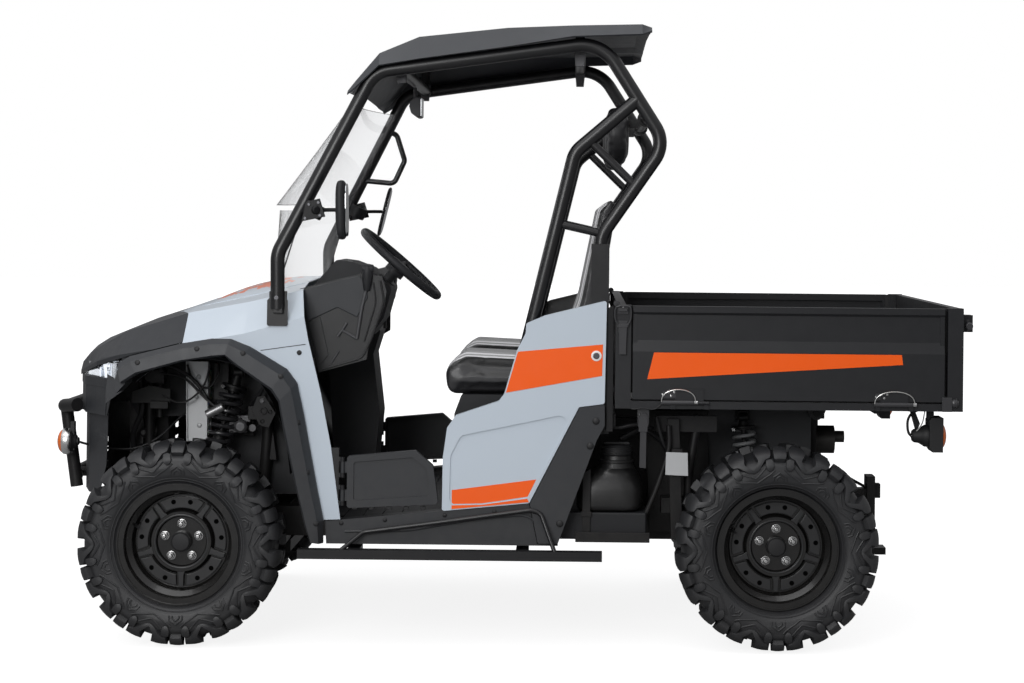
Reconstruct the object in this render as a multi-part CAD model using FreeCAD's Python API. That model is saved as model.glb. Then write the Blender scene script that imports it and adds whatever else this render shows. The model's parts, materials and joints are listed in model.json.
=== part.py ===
"""Side by side utility vehicle with a drop-side tipping bed, as separate solids.

Millimetres. +X is forward, +Y is the vehicle's left, +Z is up. The origin is on the ground, at the middle of
the overall length and width. Every function below makes one named piece, or a pair of like pieces.
"""
import FreeCAD, Part
import math
import os

V = FreeCAD.Vector

# ---------------------------------------------------------------- driving dimensions
HALF_LENGTH = 1519            # bull bar and tailgate latches reach this far
WHEELBASE = 1920
FRONT_AXLE_X = 1030
REAR_AXLE_X = FRONT_AXLE_X - WHEELBASE
TYRE_RADIUS = 330
AXLE_Z = TYRE_RADIUS
WHEEL_FACE_Y = 765            # outer side of every tyre
FRONT_TYRE_WIDTH = 230
REAR_TYRE_WIDTH = 270
KINGPIN_Y = WHEEL_FACE_Y - 165
RUNNING_GAP = 0.1             # radial, between a shaft and its bore

BEAD_RADIUS = 178
FLANGE_RADIUS = BEAD_RADIUS + 17
RIM_HALF_WIDTH = 95
RIM_WALL = 4
FLANGE_THICKNESS = 8
LUG_CIRCLE_RADIUS = 57.15
STUB_RADIUS = 20

RAIL_Z = (300, 400)           # main chassis rails
RAIL_Y = (240, 300)
OUTRIGGER_X = (470, -70)      # cross arms of the main frame, which also carry the steps
OUTRIGGER_DEPTH = 45
LOW_RAIL_Z = (230, 270)       # axle subframes
LOW_RAIL_Y = (150, 190)
FLOOR_Z = 400
FLOOR_HALF_WIDTH = 640
SHEET = 5                     # floor and firewall
SCREEN = 5                    # windscreen
SCREEN_GAP = 0.3
SCREEN_SPLIT_Z = 1411
SKIN = 4                      # moulded body panels
BODY_Y = 705                  # outer face of the body sides
FLARE_Y = 762                 # outer face of the front wheel flares

CAGE_TUBE = 45
BRACE_TUBE = 27
CAGE_FOOT_Y = 712
CAGE_TOP_Y = 640

BED_FRONT_X = -363
BED_REAR_X = REAR_AXLE_X - 591
BED_HALF_WIDTH = 702
BED_FLOOR_Z = 806             # top of the load floor
BED_TOP_Z = 1108
BED_POST_LENGTH = 50
BED_PANEL = 28                # thickness of a drop side
BED_PIVOT = (REAR_AXLE_X - 160, 735)      # x, z of the tipping hinge
KNUCKLE_GAP = 0.8             # along a hinge, between fixed and moving knuckles
PROP_RADIUS = 16
PIVOT_PIN = 11                # radius of the tipping hinge's pins
GAP = 6                       # between moving panels

STEERING_WHEEL_RADIUS = 175
STEERING_WHEEL_CENTRE = (356, 360, 1226)
COLUMN_DIRECTION = (0.654, 0.0, -0.757)
COLUMN_RADIUS = 30


# ---------------------------------------------------------------- helpers
def box(x, y, z):
    """A block from three (low, high) pairs."""
    return Part.makeBox(x[1] - x[0], y[1] - y[0], z[1] - z[0], V(x[0], y[0], z[0]))


def rod(start, end, radius):
    """A round bar between two points."""
    start, end = V(*start), V(*end)
    return Part.makeCylinder(radius, (end - start).Length, start, end - start)


def mirrored(shape):
    """The same piece on the vehicle's other side."""
    return shape.mirror(V(0, 0, 0), V(0, 1, 0))


def pair(shape):
    return [shape, mirrored(shape)]


def joined(shapes):
    """One solid out of several that meet."""
    whole = shapes[0].multiFuse(shapes[1:]) if len(shapes) > 1 else shapes[0]
    return whole.removeSplitter()


def path_edges(points, bend, closed=False):
    """Straight runs through the points, joined by tangent arcs of radius bend, or as large as the runs allow."""
    points = [V(*p) for p in points]
    count = len(points)
    corners = range(count) if closed else range(1, count - 1)
    starts, ends, arcs = {}, {}, {}
    for i in corners:
        before, here, after = points[i - 1], points[i], points[(i + 1) % count]
        back, on = (before - here), (after - here)
        turn = math.pi - back.getAngle(on)
        radius = bend[i] if isinstance(bend, (list, tuple)) else bend
        limit = 0.48 * min(back.Length, on.Length)
        if turn < 1e-4 or radius <= 0:
            continue
        cut = min(radius * math.tan(turn / 2), limit)
        radius = cut / math.tan(turn / 2)
        back, on = V(back).normalize(), V(on).normalize()
        middle = (back + on).normalize()
        centre = here + middle * (radius / math.cos(turn / 2))
        starts[i], ends[i] = here + back * cut, here + on * cut
        arcs[i] = Part.Arc(starts[i], centre - middle * radius, ends[i]).toShape()
    edges = []
    for i in range(count if closed else count - 1):
        j = (i + 1) % count
        if i in arcs and not (i == 0 and closed):
            edges.append(arcs[i])
        a, b = ends.get(i, points[i]), starts.get(j, points[j])
        if (b - a).Length > 1e-4:
            edges.append(Part.LineSegment(a, b).toShape())
    if closed and 0 in arcs:
        edges.append(arcs[0])
    return edges


def tube(points, diameter, bend=0):
    """A round tube through the points, closed inside, with bends of one radius."""
    edges = path_edges(points, bend)
    wire = Part.Wire(Part.__sortEdges__(edges))
    start = V(*points[0])
    along = V(*points[1]) - start
    ring = Part.Wire(Part.makeCircle(diameter / 2, start, along))
    return wire.makePipeShell([ring], True, False)


def outline_face(points, bend=0):
    edges = path_edges(points, bend, closed=True)
    return Part.Face(Part.Wire(Part.__sortEdges__(edges)))


def side_plate(points, y, bend=0):
    """A plate from an outline of (x, z) points, between two values of y."""
    face = outline_face([(x, y[0], z) for x, z in points], bend)
    return face.extrude(V(0, y[1] - y[0], 0))


def floor_plate(points, z, bend=0):
    """A plate from an outline of (x, y) points, between two values of z."""
    face = outline_face([(x, y, z[0]) for x, y in points], bend)
    return face.extrude(V(0, 0, z[1] - z[0]))


def cross_plate(points, x, bend=0):
    """A plate from an outline of (y, z) points, between two values of x."""
    face = outline_face([(x[0], y, z) for y, z in points], bend)
    return face.extrude(V(x[1] - x[0], 0, 0))


def offset_path(points, thickness):
    """The path moved sideways by thickness, to the right of its direction of travel, corner by corner."""
    moved = []
    for i, (a, b) in enumerate(points):
        normals = []
        for j in (i - 1, i):
            if 0 <= j < len(points) - 1:
                da, db = points[j + 1][0] - points[j][0], points[j + 1][1] - points[j][1]
                size = math.hypot(da, db)
                normals.append((db / size, -da / size))
        na = sum(n[0] for n in normals)
        nb = sum(n[1] for n in normals)
        size = math.hypot(na, nb)
        na, nb = na / size, nb / size
        share = na * normals[0][0] + nb * normals[0][1]
        moved.append((a + na * thickness / share, b + nb * thickness / share))
    return moved


def shell_loft(sections, thickness, place):
    """A thin panel through open sections. Each section is a list of (a, b) points, and place turns the
    section's number and a point into (x, y, z). The wall goes to the right of the direction of travel."""
    wires = []
    for i, section in enumerate(sections):
        ring = list(section) + offset_path(section, thickness)[::-1]
        corners = [V(*place(i, p)) for p in ring]
        wires.append(Part.makePolygon(corners + corners[:1]))
    return Part.makeLoft(wires, True, True)


def tray(face_points, y_outer, depth, skin, bend=0):
    """A moulded side panel: a face at y_outer with edges turned in by depth, open towards the middle."""
    outer = side_plate(face_points, (y_outer - depth, y_outer), bend)
    wire = outline_face([(x, y_outer - depth, z) for x, z in face_points], bend).OuterWire
    inner = Part.Face(wire.makeOffset2D(-skin, 2)).extrude(V(0, depth - skin, 0))
    return outer.cut(inner)


# ---------------------------------------------------------------- wheels
def tyre(x, width, side):
    """Tyre as a hollow casing with open beads."""
    half = width / 2
    wall = 12
    # outline of half the casing: radius, distance from the middle plane
    bead = (BEAD_RADIUS - 0.5, RIM_HALF_WIDTH - FLANGE_THICKNESS - 0.2)
    lip = (FLANGE_RADIUS + 2, bead[1])
    reach = TYRE_RADIUS - lip[0]
    bulge, shoulder = (lip[0] + reach * 7 / 19, half), (306, half - 8)
    wall_radius = lip[0] + reach * 2 / 19       # where the side wall's arc passes, 9 inside the bulge
    edge = (TYRE_RADIUS, half - 40)
    centre_y = side * (WHEEL_FACE_Y - half)

    def at(radius, y):
        return V(x + radius, centre_y + y, AXLE_Z)

    outer = [
        Part.LineSegment(at(bead[0], -bead[1]), at(lip[0], -lip[1])).toShape(),
        Part.Arc(at(lip[0], -lip[1]), at(wall_radius, -bulge[1] + 9), at(bulge[0], -bulge[1])).toShape(),
        Part.LineSegment(at(bulge[0], -bulge[1]), at(shoulder[0], -shoulder[1])).toShape(),
        Part.LineSegment(at(shoulder[0], -shoulder[1]), at(edge[0], -edge[1])).toShape(),
        Part.LineSegment(at(edge[0], -edge[1]), at(edge[0], edge[1])).toShape(),
        Part.LineSegment(at(edge[0], edge[1]), at(shoulder[0], shoulder[1])).toShape(),
        Part.LineSegment(at(shoulder[0], shoulder[1]), at(bulge[0], bulge[1])).toShape(),
        Part.Arc(at(bulge[0], bulge[1]), at(wall_radius, bulge[1] - 9), at(lip[0], lip[1])).toShape(),
        Part.LineSegment(at(lip[0], lip[1]), at(bead[0], bead[1])).toShape(),
    ]
    inside = [(bead[0], bead[1] - wall), (lip[0], lip[1] - wall), (bulge[0] - 8, half - wall),
              (shoulder[0] - wall, half - wall - 8), (TYRE_RADIUS - 2 * wall, half - 48)]
    inside = inside + [(r, -y) for r, y in inside[::-1]]
    corners = [at(bead[0], bead[1])] + [at(*p) for p in inside] + [at(bead[0], -bead[1])]
    inner = [Part.LineSegment(a, b).toShape() for a, b in zip(corners, corners[1:])]
    face = Part.Face(Part.Wire(Part.__sortEdges__(outer + inner)))
    return face.revolve(V(x, centre_y, AXLE_Z), V(0, 1, 0), 360)


def rim(x, width, side):
    """Pressed steel wheel with its hub and stub shaft. Table columns: distance outwards, radius."""
    centre_y = WHEEL_FACE_Y - width / 2
    flange, bead, edge, seat = FLANGE_RADIUS, BEAD_RADIUS, RIM_HALF_WIDTH, RIM_HALF_WIDTH - FLANGE_THICKNESS
    barrel = [(edge, flange), (seat, flange), (seat, bead - 1), (60, bead - 3), (46, bead - 18), (-40, bead - 18),
              (-54, bead - 3), (-seat, bead - 1), (-seat, flange), (-edge, flange), (-edge, flange - RIM_WALL),
              (-edge + 4, flange - RIM_WALL), (-edge + 4, bead - 5), (-52, bead - 7), (-38, bead - 22),
              (44, bead - 22), (58, bead - 7), (edge - 4, bead - 5), (edge - 4, flange - RIM_WALL),
              (edge, flange - RIM_WALL)]
    disc = [(16, bead - 21), (8, bead - 28), (8, 106), (26, 96), (26, 88), (10, 78), (10, 34), (30, 32), (34, 26), (34, 0),
            (-8, 0), (-8, 48), (4, 50), (4, 82), (19, 92), (2, 102), (2, bead - 26), (10, bead - 21)]

    def turned(profile):
        corners = [V(x + r, centre_y + y, AXLE_Z) for y, r in profile]
        return Part.Face(Part.makePolygon(corners + corners[:1])).revolve(V(x, centre_y, AXLE_Z), V(0, 1, 0), 360)

    def spot(radius, angle, y):
        a = math.radians(angle)
        return V(x + radius * math.cos(a), centre_y + y, AXLE_Z + radius * math.sin(a))

    whole = turned(barrel).fuse(turned(disc))
    additions, holes = [], []
    for n in range(5):
        middle = 90 + 72 * n
        # raised pad between two spokes, with two vent holes
        pad = [(111, middle - 24), (145, middle - 21), (145, middle), (145, middle + 21), (111, middle + 24),
               (111, middle)]
        edges = [Part.LineSegment(spot(*pad[0], 6), spot(*pad[1], 6)).toShape(),
                 Part.Arc(spot(*pad[1], 6), spot(*pad[2], 6), spot(*pad[3], 6)).toShape(),
                 Part.LineSegment(spot(*pad[3], 6), spot(*pad[4], 6)).toShape(),
                 Part.Arc(spot(*pad[4], 6), spot(*pad[5], 6), spot(*pad[0], 6)).toShape()]
        additions.append(Part.Face(Part.Wire(edges)).extrude(V(0, 8, 0)))
        for offset in (-11, 11):
            holes.append(Part.makeCylinder(8.5, 40, spot(130, middle + offset, -10), V(0, 1, 0)))
        nut = spot(LUG_CIRCLE_RADIUS, middle, 9)
        additions.append(Part.makeCylinder(10, 13, nut, V(0, 1, 0)))
    whole = whole.multiFuse(additions).cut(Part.makeCompound(holes))
    stub_end = 40 if side else 0
    stub = Part.makeCylinder(STUB_RADIUS, 130 - stub_end, V(x, centre_y - 130 + stub_end, AXLE_Z), V(0, 1, 0))
    return whole.fuse(stub).removeSplitter()


def wheel_parts():
    """Four tyres and four rims. The rear stubs are as long as the wider rear tyres need."""
    made = {}
    for name, x, width in (("front", FRONT_AXLE_X, FRONT_TYRE_WIDTH), ("rear", REAR_AXLE_X, REAR_TYRE_WIDTH)):
        left = rim(x, width, 1)
        made[f"{name}_left_rim"] = [left]
        made[f"{name}_right_rim"] = [mirrored(left)]
        made[f"{name}_left_tyre"] = [tyre(x, width, 1)]
        made[f"{name}_right_tyre"] = [tyre(x, width, -1)]
    return made


# ---------------------------------------------------------------- suspension and steering
# shock absorbers: centres of the lower and upper eyes
ARM_EYE_Z = {"lower": AXLE_Z - 100, "upper": AXLE_Z + 100}
ARM_PIVOT_Z = {"lower": 250, "upper": 455}
BUSH_RADIUS = 16
ARM_PIVOT_Y = LOW_RAIL_Y[1] + BUSH_RADIUS + 0.2
REAR_EYE_Y = WHEEL_FACE_Y - 225
REAR_CARRIER_Y = (REAR_EYE_Y - 20, REAR_EYE_Y + 70)
SHOCK_SEAT = 26.4             # from an upper arm's brace up to the shock absorber's eye


def arm_height(arm, eye_y, y):
    """Height of an arm's centre line at a distance y from the vehicle's middle plane."""
    share = (y - ARM_PIVOT_Y) / (eye_y - ARM_PIVOT_Y)
    return ARM_PIVOT_Z[arm] + share * (ARM_EYE_Z[arm] - ARM_PIVOT_Z[arm])


FRONT_SHOCK = ((FRONT_AXLE_X - 30, 420, arm_height("upper", KINGPIN_Y, 420) + SHOCK_SEAT),
               (FRONT_AXLE_X - 137, 400, 858))
REAR_SHOCK = ((REAR_AXLE_X + 78, 380, arm_height("upper", REAR_EYE_Y, 380) + SHOCK_SEAT),
              (REAR_AXLE_X + 90, 372, 722))
EYE_HALF = 12
FACE_GAP = 0.5                # between faces that turn on each other
EYE_RADIUS = 21
PIN_RADIUS = 10
RACK_X, RACK_Z = FRONT_AXLE_X - 85, AXLE_Z + 50
TIE_ROD_RADIUS = 8


def knuckle_left():
    """Steered upright: bearing housing, two ball pins and a steering arm."""
    x = FRONT_AXLE_X
    body = rod((x, KINGPIN_Y - 15, AXLE_Z), (x, KINGPIN_Y + 34, AXLE_Z), 46)
    nose = Part.makeCone(22, 32, 20, V(x, KINGPIN_Y - 34, AXLE_Z), V(0, 1, 0))
    column = box((x - 16, x + 16), (KINGPIN_Y - 18, KINGPIN_Y + 18),
                 (ARM_EYE_Z["lower"] + EYE_HALF + FACE_GAP, ARM_EYE_Z["upper"] - EYE_HALF - FACE_GAP))
    pins = rod((x, KINGPIN_Y, ARM_EYE_Z["lower"] - EYE_HALF), (x, KINGPIN_Y, ARM_EYE_Z["upper"] + EYE_HALF),
               PIN_RADIUS)
    arm_top = RACK_Z - 12 - FACE_GAP
    arm = box((RACK_X, x - 10), (KINGPIN_Y - 11, KINGPIN_Y + 11), (arm_top - 16, arm_top))
    boss = rod((RACK_X, KINGPIN_Y, arm_top - 16), (RACK_X, KINGPIN_Y, arm_top), 16)
    caliper = box((x + 20, x + 74), (KINGPIN_Y - 30, KINGPIN_Y + 6), (AXLE_Z - 32, AXLE_Z + 34))
    whole = joined([body, nose, column, pins, arm, boss, caliper])
    return [whole.cut(rod((x, 400, AXLE_Z), (x, 800, AXLE_Z), STUB_RADIUS + RUNNING_GAP))]


def wishbone(x, eye_y, eye_z, pivot_y, pivot_z, half_base, brace_y, brace_end):
    """One wishbone: two tubes from the inner pivots to the outer eye, with a bush at each inner end."""
    eye = rod((x, eye_y, eye_z - EYE_HALF), (x, eye_y, eye_z + EYE_HALF), EYE_RADIUS)
    pieces = [eye]
    for way in (-1, 1):
        inner = (x + way * half_base, pivot_y, pivot_z)
        pieces.append(rod(inner, (x, eye_y, eye_z), 11))
        pieces.append(rod((inner[0] - BUSH_HALF, pivot_y, pivot_z), (inner[0] + BUSH_HALF, pivot_y, pivot_z),
                          BUSH_RADIUS))
    share = (brace_y - pivot_y) / (eye_y - pivot_y)
    brace_z = pivot_z + share * (eye_z - pivot_z)
    reach = (1 - share) * half_base
    pieces.append(rod((x - reach, brace_y, brace_z), (max(x + reach, brace_end), brace_y, brace_z), 11))
    return joined(pieces).cut(rod((x, eye_y, eye_z - 30), (x, eye_y, eye_z + 30), PIN_RADIUS + RUNNING_GAP))


def wishbone_set(x, eye_y, shock_foot):
    """Lower and upper arms of one axle. The upper arm's brace carries the shock absorber."""
    low = wishbone(x, eye_y, ARM_EYE_Z["lower"], ARM_PIVOT_Y, ARM_PIVOT_Z["lower"], LOWER_ARM_BASE, 330, x)
    high = wishbone(x, eye_y, ARM_EYE_Z["upper"], ARM_PIVOT_Y, ARM_PIVOT_Z["upper"], UPPER_ARM_BASE, shock_foot[1],
                    shock_foot[0] + 16)
    return pair(low) + pair(high)


def wishbones():
    return (wishbone_set(FRONT_AXLE_X, KINGPIN_Y, FRONT_SHOCK[0])
            + wishbone_set(REAR_AXLE_X, REAR_EYE_Y, REAR_SHOCK[0]))


def rear_hub_carriers():
    """Fixed rear uprights, held in the wishbones' eyes."""
    x = REAR_AXLE_X
    body = rod((x, REAR_CARRIER_Y[0], AXLE_Z), (x, REAR_CARRIER_Y[1], AXLE_Z), 46)
    column = box((x - 16, x + 16), (REAR_EYE_Y - 18, REAR_EYE_Y + 18),
                 (ARM_EYE_Z["lower"] + EYE_HALF + 0.2, ARM_EYE_Z["upper"] - EYE_HALF - 0.2))
    pins = rod((x, REAR_EYE_Y, ARM_EYE_Z["lower"] - EYE_HALF), (x, REAR_EYE_Y, ARM_EYE_Z["upper"] + EYE_HALF),
               PIN_RADIUS)
    whole = joined([body, column, pins])
    return pair(whole.cut(rod((x, 400, AXLE_Z), (x, 800, AXLE_Z), STUB_RADIUS + RUNNING_GAP)))


def shock(bottom, top, spring_radius=38):
    """Coil-over damper: rod, body, two spring seats and the coil as a turned, grooved sleeve."""
    bottom, top = V(*bottom), V(*top)
    along = (top - bottom).normalize()
    length = (top - bottom).Length
    pieces = [rod(bottom, top, 9), rod(bottom + along * 20, bottom + along * (length * 0.45), 20),
              rod(bottom + along * (length * 0.86), bottom + along * (length * 0.91), spring_radius + 4),
              rod(bottom + along * 34, bottom + along * 44, spring_radius + 4)]
    turns = 8
    span = length * 0.86 - 44
    for n in range(turns):
        centre = bottom + along * (44 + span * (n + 0.5) / turns)
        pieces.append(Part.makeTorus(spring_radius - 6, 6.5, centre, along))
    spine = rod(bottom + along * 44, bottom + along * (44 + span), spring_radius - 6)
    pieces.append(spine)
    for end in (bottom, top):
        pieces.append(Part.makeCylinder(15, 30, end - V(15, 0, 0), V(1, 0, 0)))
    return joined(pieces)




def shocks():
    return pair(shock(*FRONT_SHOCK)) + pair(shock(*REAR_SHOCK))


FINAL_DRIVE_NOSE = 78         # from an axle to the end of its casing, where the prop shaft starts


def driveline():
    """Front and rear final drives, the prop shaft between them, and four half shafts with their boots."""
    made = [final_drive(FRONT_AXLE_X, -1), final_drive(REAR_AXLE_X, 1)]
    reach = FINAL_DRIVE_NOSE + 0.3
    made.append(rod((FRONT_AXLE_X - reach, 0, AXLE_Z), (REAR_AXLE_X + reach, 0, AXLE_Z), PROP_RADIUS))
    for x, outer in ((FRONT_AXLE_X, KINGPIN_Y - 52), (REAR_AXLE_X, REAR_CARRIER_Y[0] - 10)):
        half = joined([rod((x, 120.5, AXLE_Z), (x, outer, AXLE_Z), 13),
                       Part.makeCone(34, 20, 70, V(x, 120.5, AXLE_Z), V(0, 1, 0)),
                       Part.makeCone(18, 26, 60, V(x, outer - 60, AXLE_Z), V(0, 1, 0))])
        made += pair(half)
    return made


def final_drive(x, way):
    """Casing across the frame, its nose towards the prop shaft, and a mount between the low rails."""
    return joined([rod((x, -120, AXLE_Z), (x, 120, AXLE_Z), 62),
                   rod((x, 0, AXLE_Z), (x + way * FINAL_DRIVE_NOSE, 0, AXLE_Z), 24),
                   box((x - 30, x + 30), (0.3 - LOW_RAIL_Y[0], LOW_RAIL_Y[0] - 0.3), (240, 285))])


def rack_housing():
    """Power steering rack, carried on the front subframe."""
    bore = rod((RACK_X, -400, RACK_Z), (RACK_X, 400, RACK_Z), 11 + RUNNING_GAP)
    body = rod((RACK_X, -190, RACK_Z), (RACK_X, 190, RACK_Z), 24)
    motor = rod((RACK_X - 8, 60, RACK_Z), (RACK_X - 8, 60, RACK_Z + 118), 26)
    legs = [box((RACK_X - 27, RACK_X + 5), (y - 15, y + 15), (LOW_RAIL_Z[1], RACK_Z)) for y in (-170, 170)]
    return [joined([body, motor] + legs).cut(bore)]


def tie_rods():
    """Rack bar with both tie rods, ending in flat eyes over the steering arms."""
    pieces = [rod((RACK_X, -KINGPIN_Y + 10, RACK_Z), (RACK_X, KINGPIN_Y - 10, RACK_Z), TIE_ROD_RADIUS),
              rod((RACK_X, -262, RACK_Z), (RACK_X, 262, RACK_Z), 11)]
    for side in (-1, 1):
        y = side * KINGPIN_Y
        pieces.append(rod((RACK_X, y, RACK_Z - 12), (RACK_X, y, RACK_Z + 12), 15))
    return [joined(pieces)]


def steering_wheel():
    """Rim, three spokes and hub, turned about the column axis."""
    centre, axis = V(*STEERING_WHEEL_CENTRE), V(*COLUMN_DIRECTION).normalize()
    across = V(0, 1, 0)
    up = axis.cross(across)
    if up.z < 0:
        up = up * -1
    pieces = [Part.makeTorus(STEERING_WHEEL_RADIUS - 14, 14, centre, axis),
              rod(centre - axis * 4, centre + axis * 42, 34),
              rod(centre + axis * 42, centre + axis * 70, 19)]
    for angle in (0, 180, 270):
        way = across * math.cos(math.radians(angle)) + up * math.sin(math.radians(angle))
        pieces.append(rod(centre + axis * 16 + way * 20, centre + way * (STEERING_WHEEL_RADIUS - 16), 9))
    return [joined(pieces)]


def steering_column():
    """Shroud that comes out of the binnacle to just below the wheel."""
    centre, axis = V(*STEERING_WHEEL_CENTRE), V(*COLUMN_DIRECTION).normalize()
    start = centre + axis * (70 + RUNNING_GAP)
    return [Part.makeCylinder(COLUMN_RADIUS, 110, start, axis)]


# ---------------------------------------------------------------- chassis
def main_frame():
    """Ladder of two rails with cross members, outriggers and the seat frame's legs."""
    pieces = []
    for side in (-1, 1):
        y = sorted((side * RAIL_Y[0], side * RAIL_Y[1]))
        pieces.append(box((REAR_AXLE_X + 250, FRONT_AXLE_X - 230), y, RAIL_Z))
        for x in OUTRIGGER_X:
            reach = sorted((side * RAIL_Y[1], side * 638))
            pieces.append(box((x - 20, x + 20), reach, (FLOOR_Z - OUTRIGGER_DEPTH, FLOOR_Z)))
        y = sorted((side * LOW_RAIL_Y[0], side * RAIL_Y[1]))
        for x in (FRONT_AXLE_X - 260, REAR_AXLE_X + 280):
            pieces.append(box((x - 25, x + 25), y, (LOW_RAIL_Z[1], RAIL_Z[0] + 30)))
        upright_y = sorted((side * 262, side * 298))
        pieces.append(side_plate([(REAR_AXLE_X + 250, 390), (REAR_AXLE_X + 290, 390), (REAR_AXLE_X + 240, 715),
                                  (REAR_AXLE_X + 200, 715)], upright_y))
    for x in (FRONT_AXLE_X - 260, 120, REAR_AXLE_X + 280):
        pieces.append(box((x - 30, x + 30), (-RAIL_Y[0], RAIL_Y[0]), (AXLE_Z + PROP_RADIUS + GAP, RAIL_Z[1])))
    return [joined(pieces)]


UPPER_ARM_BASE = 100          # from the axle to each inner bush of an upper wishbone, along x
LOWER_ARM_BASE = 120
BUSH_HALF = 24
UPRIGHT_HALF = 20


def subframe(axle_x, x_low, x_high, top_z, top_y, top_x):
    """Axle cradle: low rails, uprights against the wishbones' bushes, and top rails, with cross members."""
    pieces = []
    reach = UPPER_ARM_BASE + BUSH_HALF + 0.2 + UPRIGHT_HALF
    uprights = (axle_x - reach, axle_x + reach)
    for side in (-1, 1):
        low_y = sorted((side * LOW_RAIL_Y[0], side * LOW_RAIL_Y[1]))
        high_y = sorted((side * (top_y - 20), side * (top_y + 20)))
        pieces.append(box((x_low, x_high), low_y, LOW_RAIL_Z))
        pieces.append(box(top_x, high_y, (top_z - 40, top_z)))
        middle = side * (LOW_RAIL_Y[0] + LOW_RAIL_Y[1]) / 2
        for x in uprights:
            foot = [(middle - 20, LOW_RAIL_Z[1] - 5), (middle + 20, LOW_RAIL_Z[1] - 5),
                    (side * top_y + 20, top_z - 38), (side * top_y - 20, top_z - 38)]
            pieces.append(cross_plate(foot, (x - UPRIGHT_HALF, x + UPRIGHT_HALF)))
    for x in (x_low + 20, x_high - 20):
        pieces.append(box((x - 20, x + 20), (-LOW_RAIL_Y[0], LOW_RAIL_Y[0]), LOW_RAIL_Z))
    for x in top_x:
        inner = x + 20 if x == min(top_x) else x - 20
        pieces.append(box((inner - 20, inner + 20), (20 - top_y, top_y - 20), (top_z - 40, top_z)))
    return pieces


def front_frame():
    pieces = subframe(FRONT_AXLE_X, FRONT_AXLE_X - 290, 1330, 872, 250, (FRONT_AXLE_X - 230, 1330))
    plate = box((1330, 1342), (-330, 330), (480, 760))
    pieces.append(plate)
    for side in (-1, 1):
        shock_x = FRONT_SHOCK[1][0]
        pieces.append(box((shock_x - 19, shock_x + 19), sorted((side * 260, side * 385)), (845, 871)))
        pieces.append(box((1290, 1330), sorted((side * 150, side * 190)), (270, 500)))
        pieces.append(box((1290, 1330), sorted((side * 230, side * 270)), (745, 850)))
    return [joined(pieces)]


CAGE_SLEEVE_Z = 755            # foot of the cage's rear legs, on the rear frame's arms


def rear_frame():
    pieces = subframe(REAR_AXLE_X, REAR_AXLE_X - 290, REAR_AXLE_X + 300, 755, 290, (REAR_AXLE_X - 190, -330))
    for side in (-1, 1):
        pieces.append(rod((BED_PIVOT[0], side * 300, BED_PIVOT[1]), (BED_PIVOT[0], side * 350, BED_PIVOT[1]),
                          PIVOT_PIN))
        shock_x = REAR_SHOCK[1][0]
        pieces.append(box((shock_x - 18, shock_x + 18), sorted((side * 300, side * 357)), (716, 742)))
        pieces.append(box((-366, -300), sorted((side * 300, side * 668)), (715, CAGE_SLEEVE_Z - 0.2)))
    return [joined(pieces)]


# ---------------------------------------------------------------- roll cage
# main side tube: x, y, z of each corner, from the front foot to the rear post
CAGE_SIDE = [(722, CAGE_FOOT_Y, 1085), (724, CAGE_FOOT_Y, 1262), (425, 652, 1852), (-310, CAGE_TOP_Y, 1957),
             (-520, CAGE_TOP_Y, 1630), (-313, CAGE_TOP_Y, 1329), (-312, CAGE_TOP_Y, 760)]
CAGE_BENDS = [0, 90, 95, 130, 95, 110, 0]
PILLAR = [(-12, CAGE_TOP_Y, 700), (-226, CAGE_TOP_Y, 1599), (-428, CAGE_TOP_Y, 1773)]


def cage_side():
    """One side of the roll cage, with its B pillar, braces, foot plate and rear sleeve."""
    main = tube(CAGE_SIDE, CAGE_TUBE, CAGE_BENDS)
    pillar = tube(PILLAR, CAGE_TUBE, 80)
    braces = [tube([(-272, CAGE_TOP_Y, 1638), (-424, CAGE_TOP_Y, 1491)], BRACE_TUBE),
              tube([(-173, CAGE_TOP_Y, 1368), (-318, CAGE_TOP_Y, 1336)], BRACE_TUBE)]
    sleeve = box((-341, -283), (CAGE_TOP_Y - 30, CAGE_TOP_Y + 30), (CAGE_SLEEVE_Z, 1303))
    foot = side_plate([(690, 1030), (756, 1030), (756, 1112), (740, 1130), (706, 1130), (690, 1112)],
                      (BODY_Y + 0.2, BODY_Y + 7), 6)
    return joined([main, pillar, sleeve, foot] + braces)


def roll_cage_left():
    return [cage_side()]


def roll_cage_right():
    """The right side also has the passenger's grab handle on the front post."""
    handle = tube([(590, -676, 1522), (470, -676, 1512), (430, -676, 1600), (462, -676, 1700),
                   (506, -668, 1712)], 20, 25)
    return [joined([mirrored(cage_side()), handle])]


# crossbars: x, z, diameter, y of the side tube there
CROSSBARS = [(345, 1863, 38, 650.6), (-239, 1946, 38, 641.2), (-462, 1722, 38, 640), (-379, 1425, 38, 640)]


def roof_under(x):
    """Height of the roof's inner face over a pad, beside the raised field."""
    for (x1, edge, high, field, middle), (x2, edge2, low, field2, middle2) in zip(ROOF, ROOF[1:]):
        if x2 <= x <= x1:
            return high + (x1 - x) / (x1 - x2) * (low - high) - ROOF_WALL + 1


def roof_pad(x, z):
    """Bracket from a crossbar up to the roof."""
    top = [(x + 15, roof_under(x + 15) - 0.2), (x - 15, roof_under(x - 15) - 0.2)]
    return side_plate([(x - 15, z), (x + 15, z)] + top, (548, 576))


def cage_crossbars():
    """Cross tubes between the two sides, and the clamps of the head restraints."""
    made = []
    for x, z, size, tube_y in CROSSBARS:
        reach = tube_y - CAGE_TUBE / 2 - RUNNING_GAP
        bar = rod((x, -reach, z), (x, reach, z), size / 2)
        if z > 1800:
            bar = joined([bar] + pair(roof_pad(x, z)))
        made.append(bar)
    return made + pair(headrest_bracket())


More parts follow.
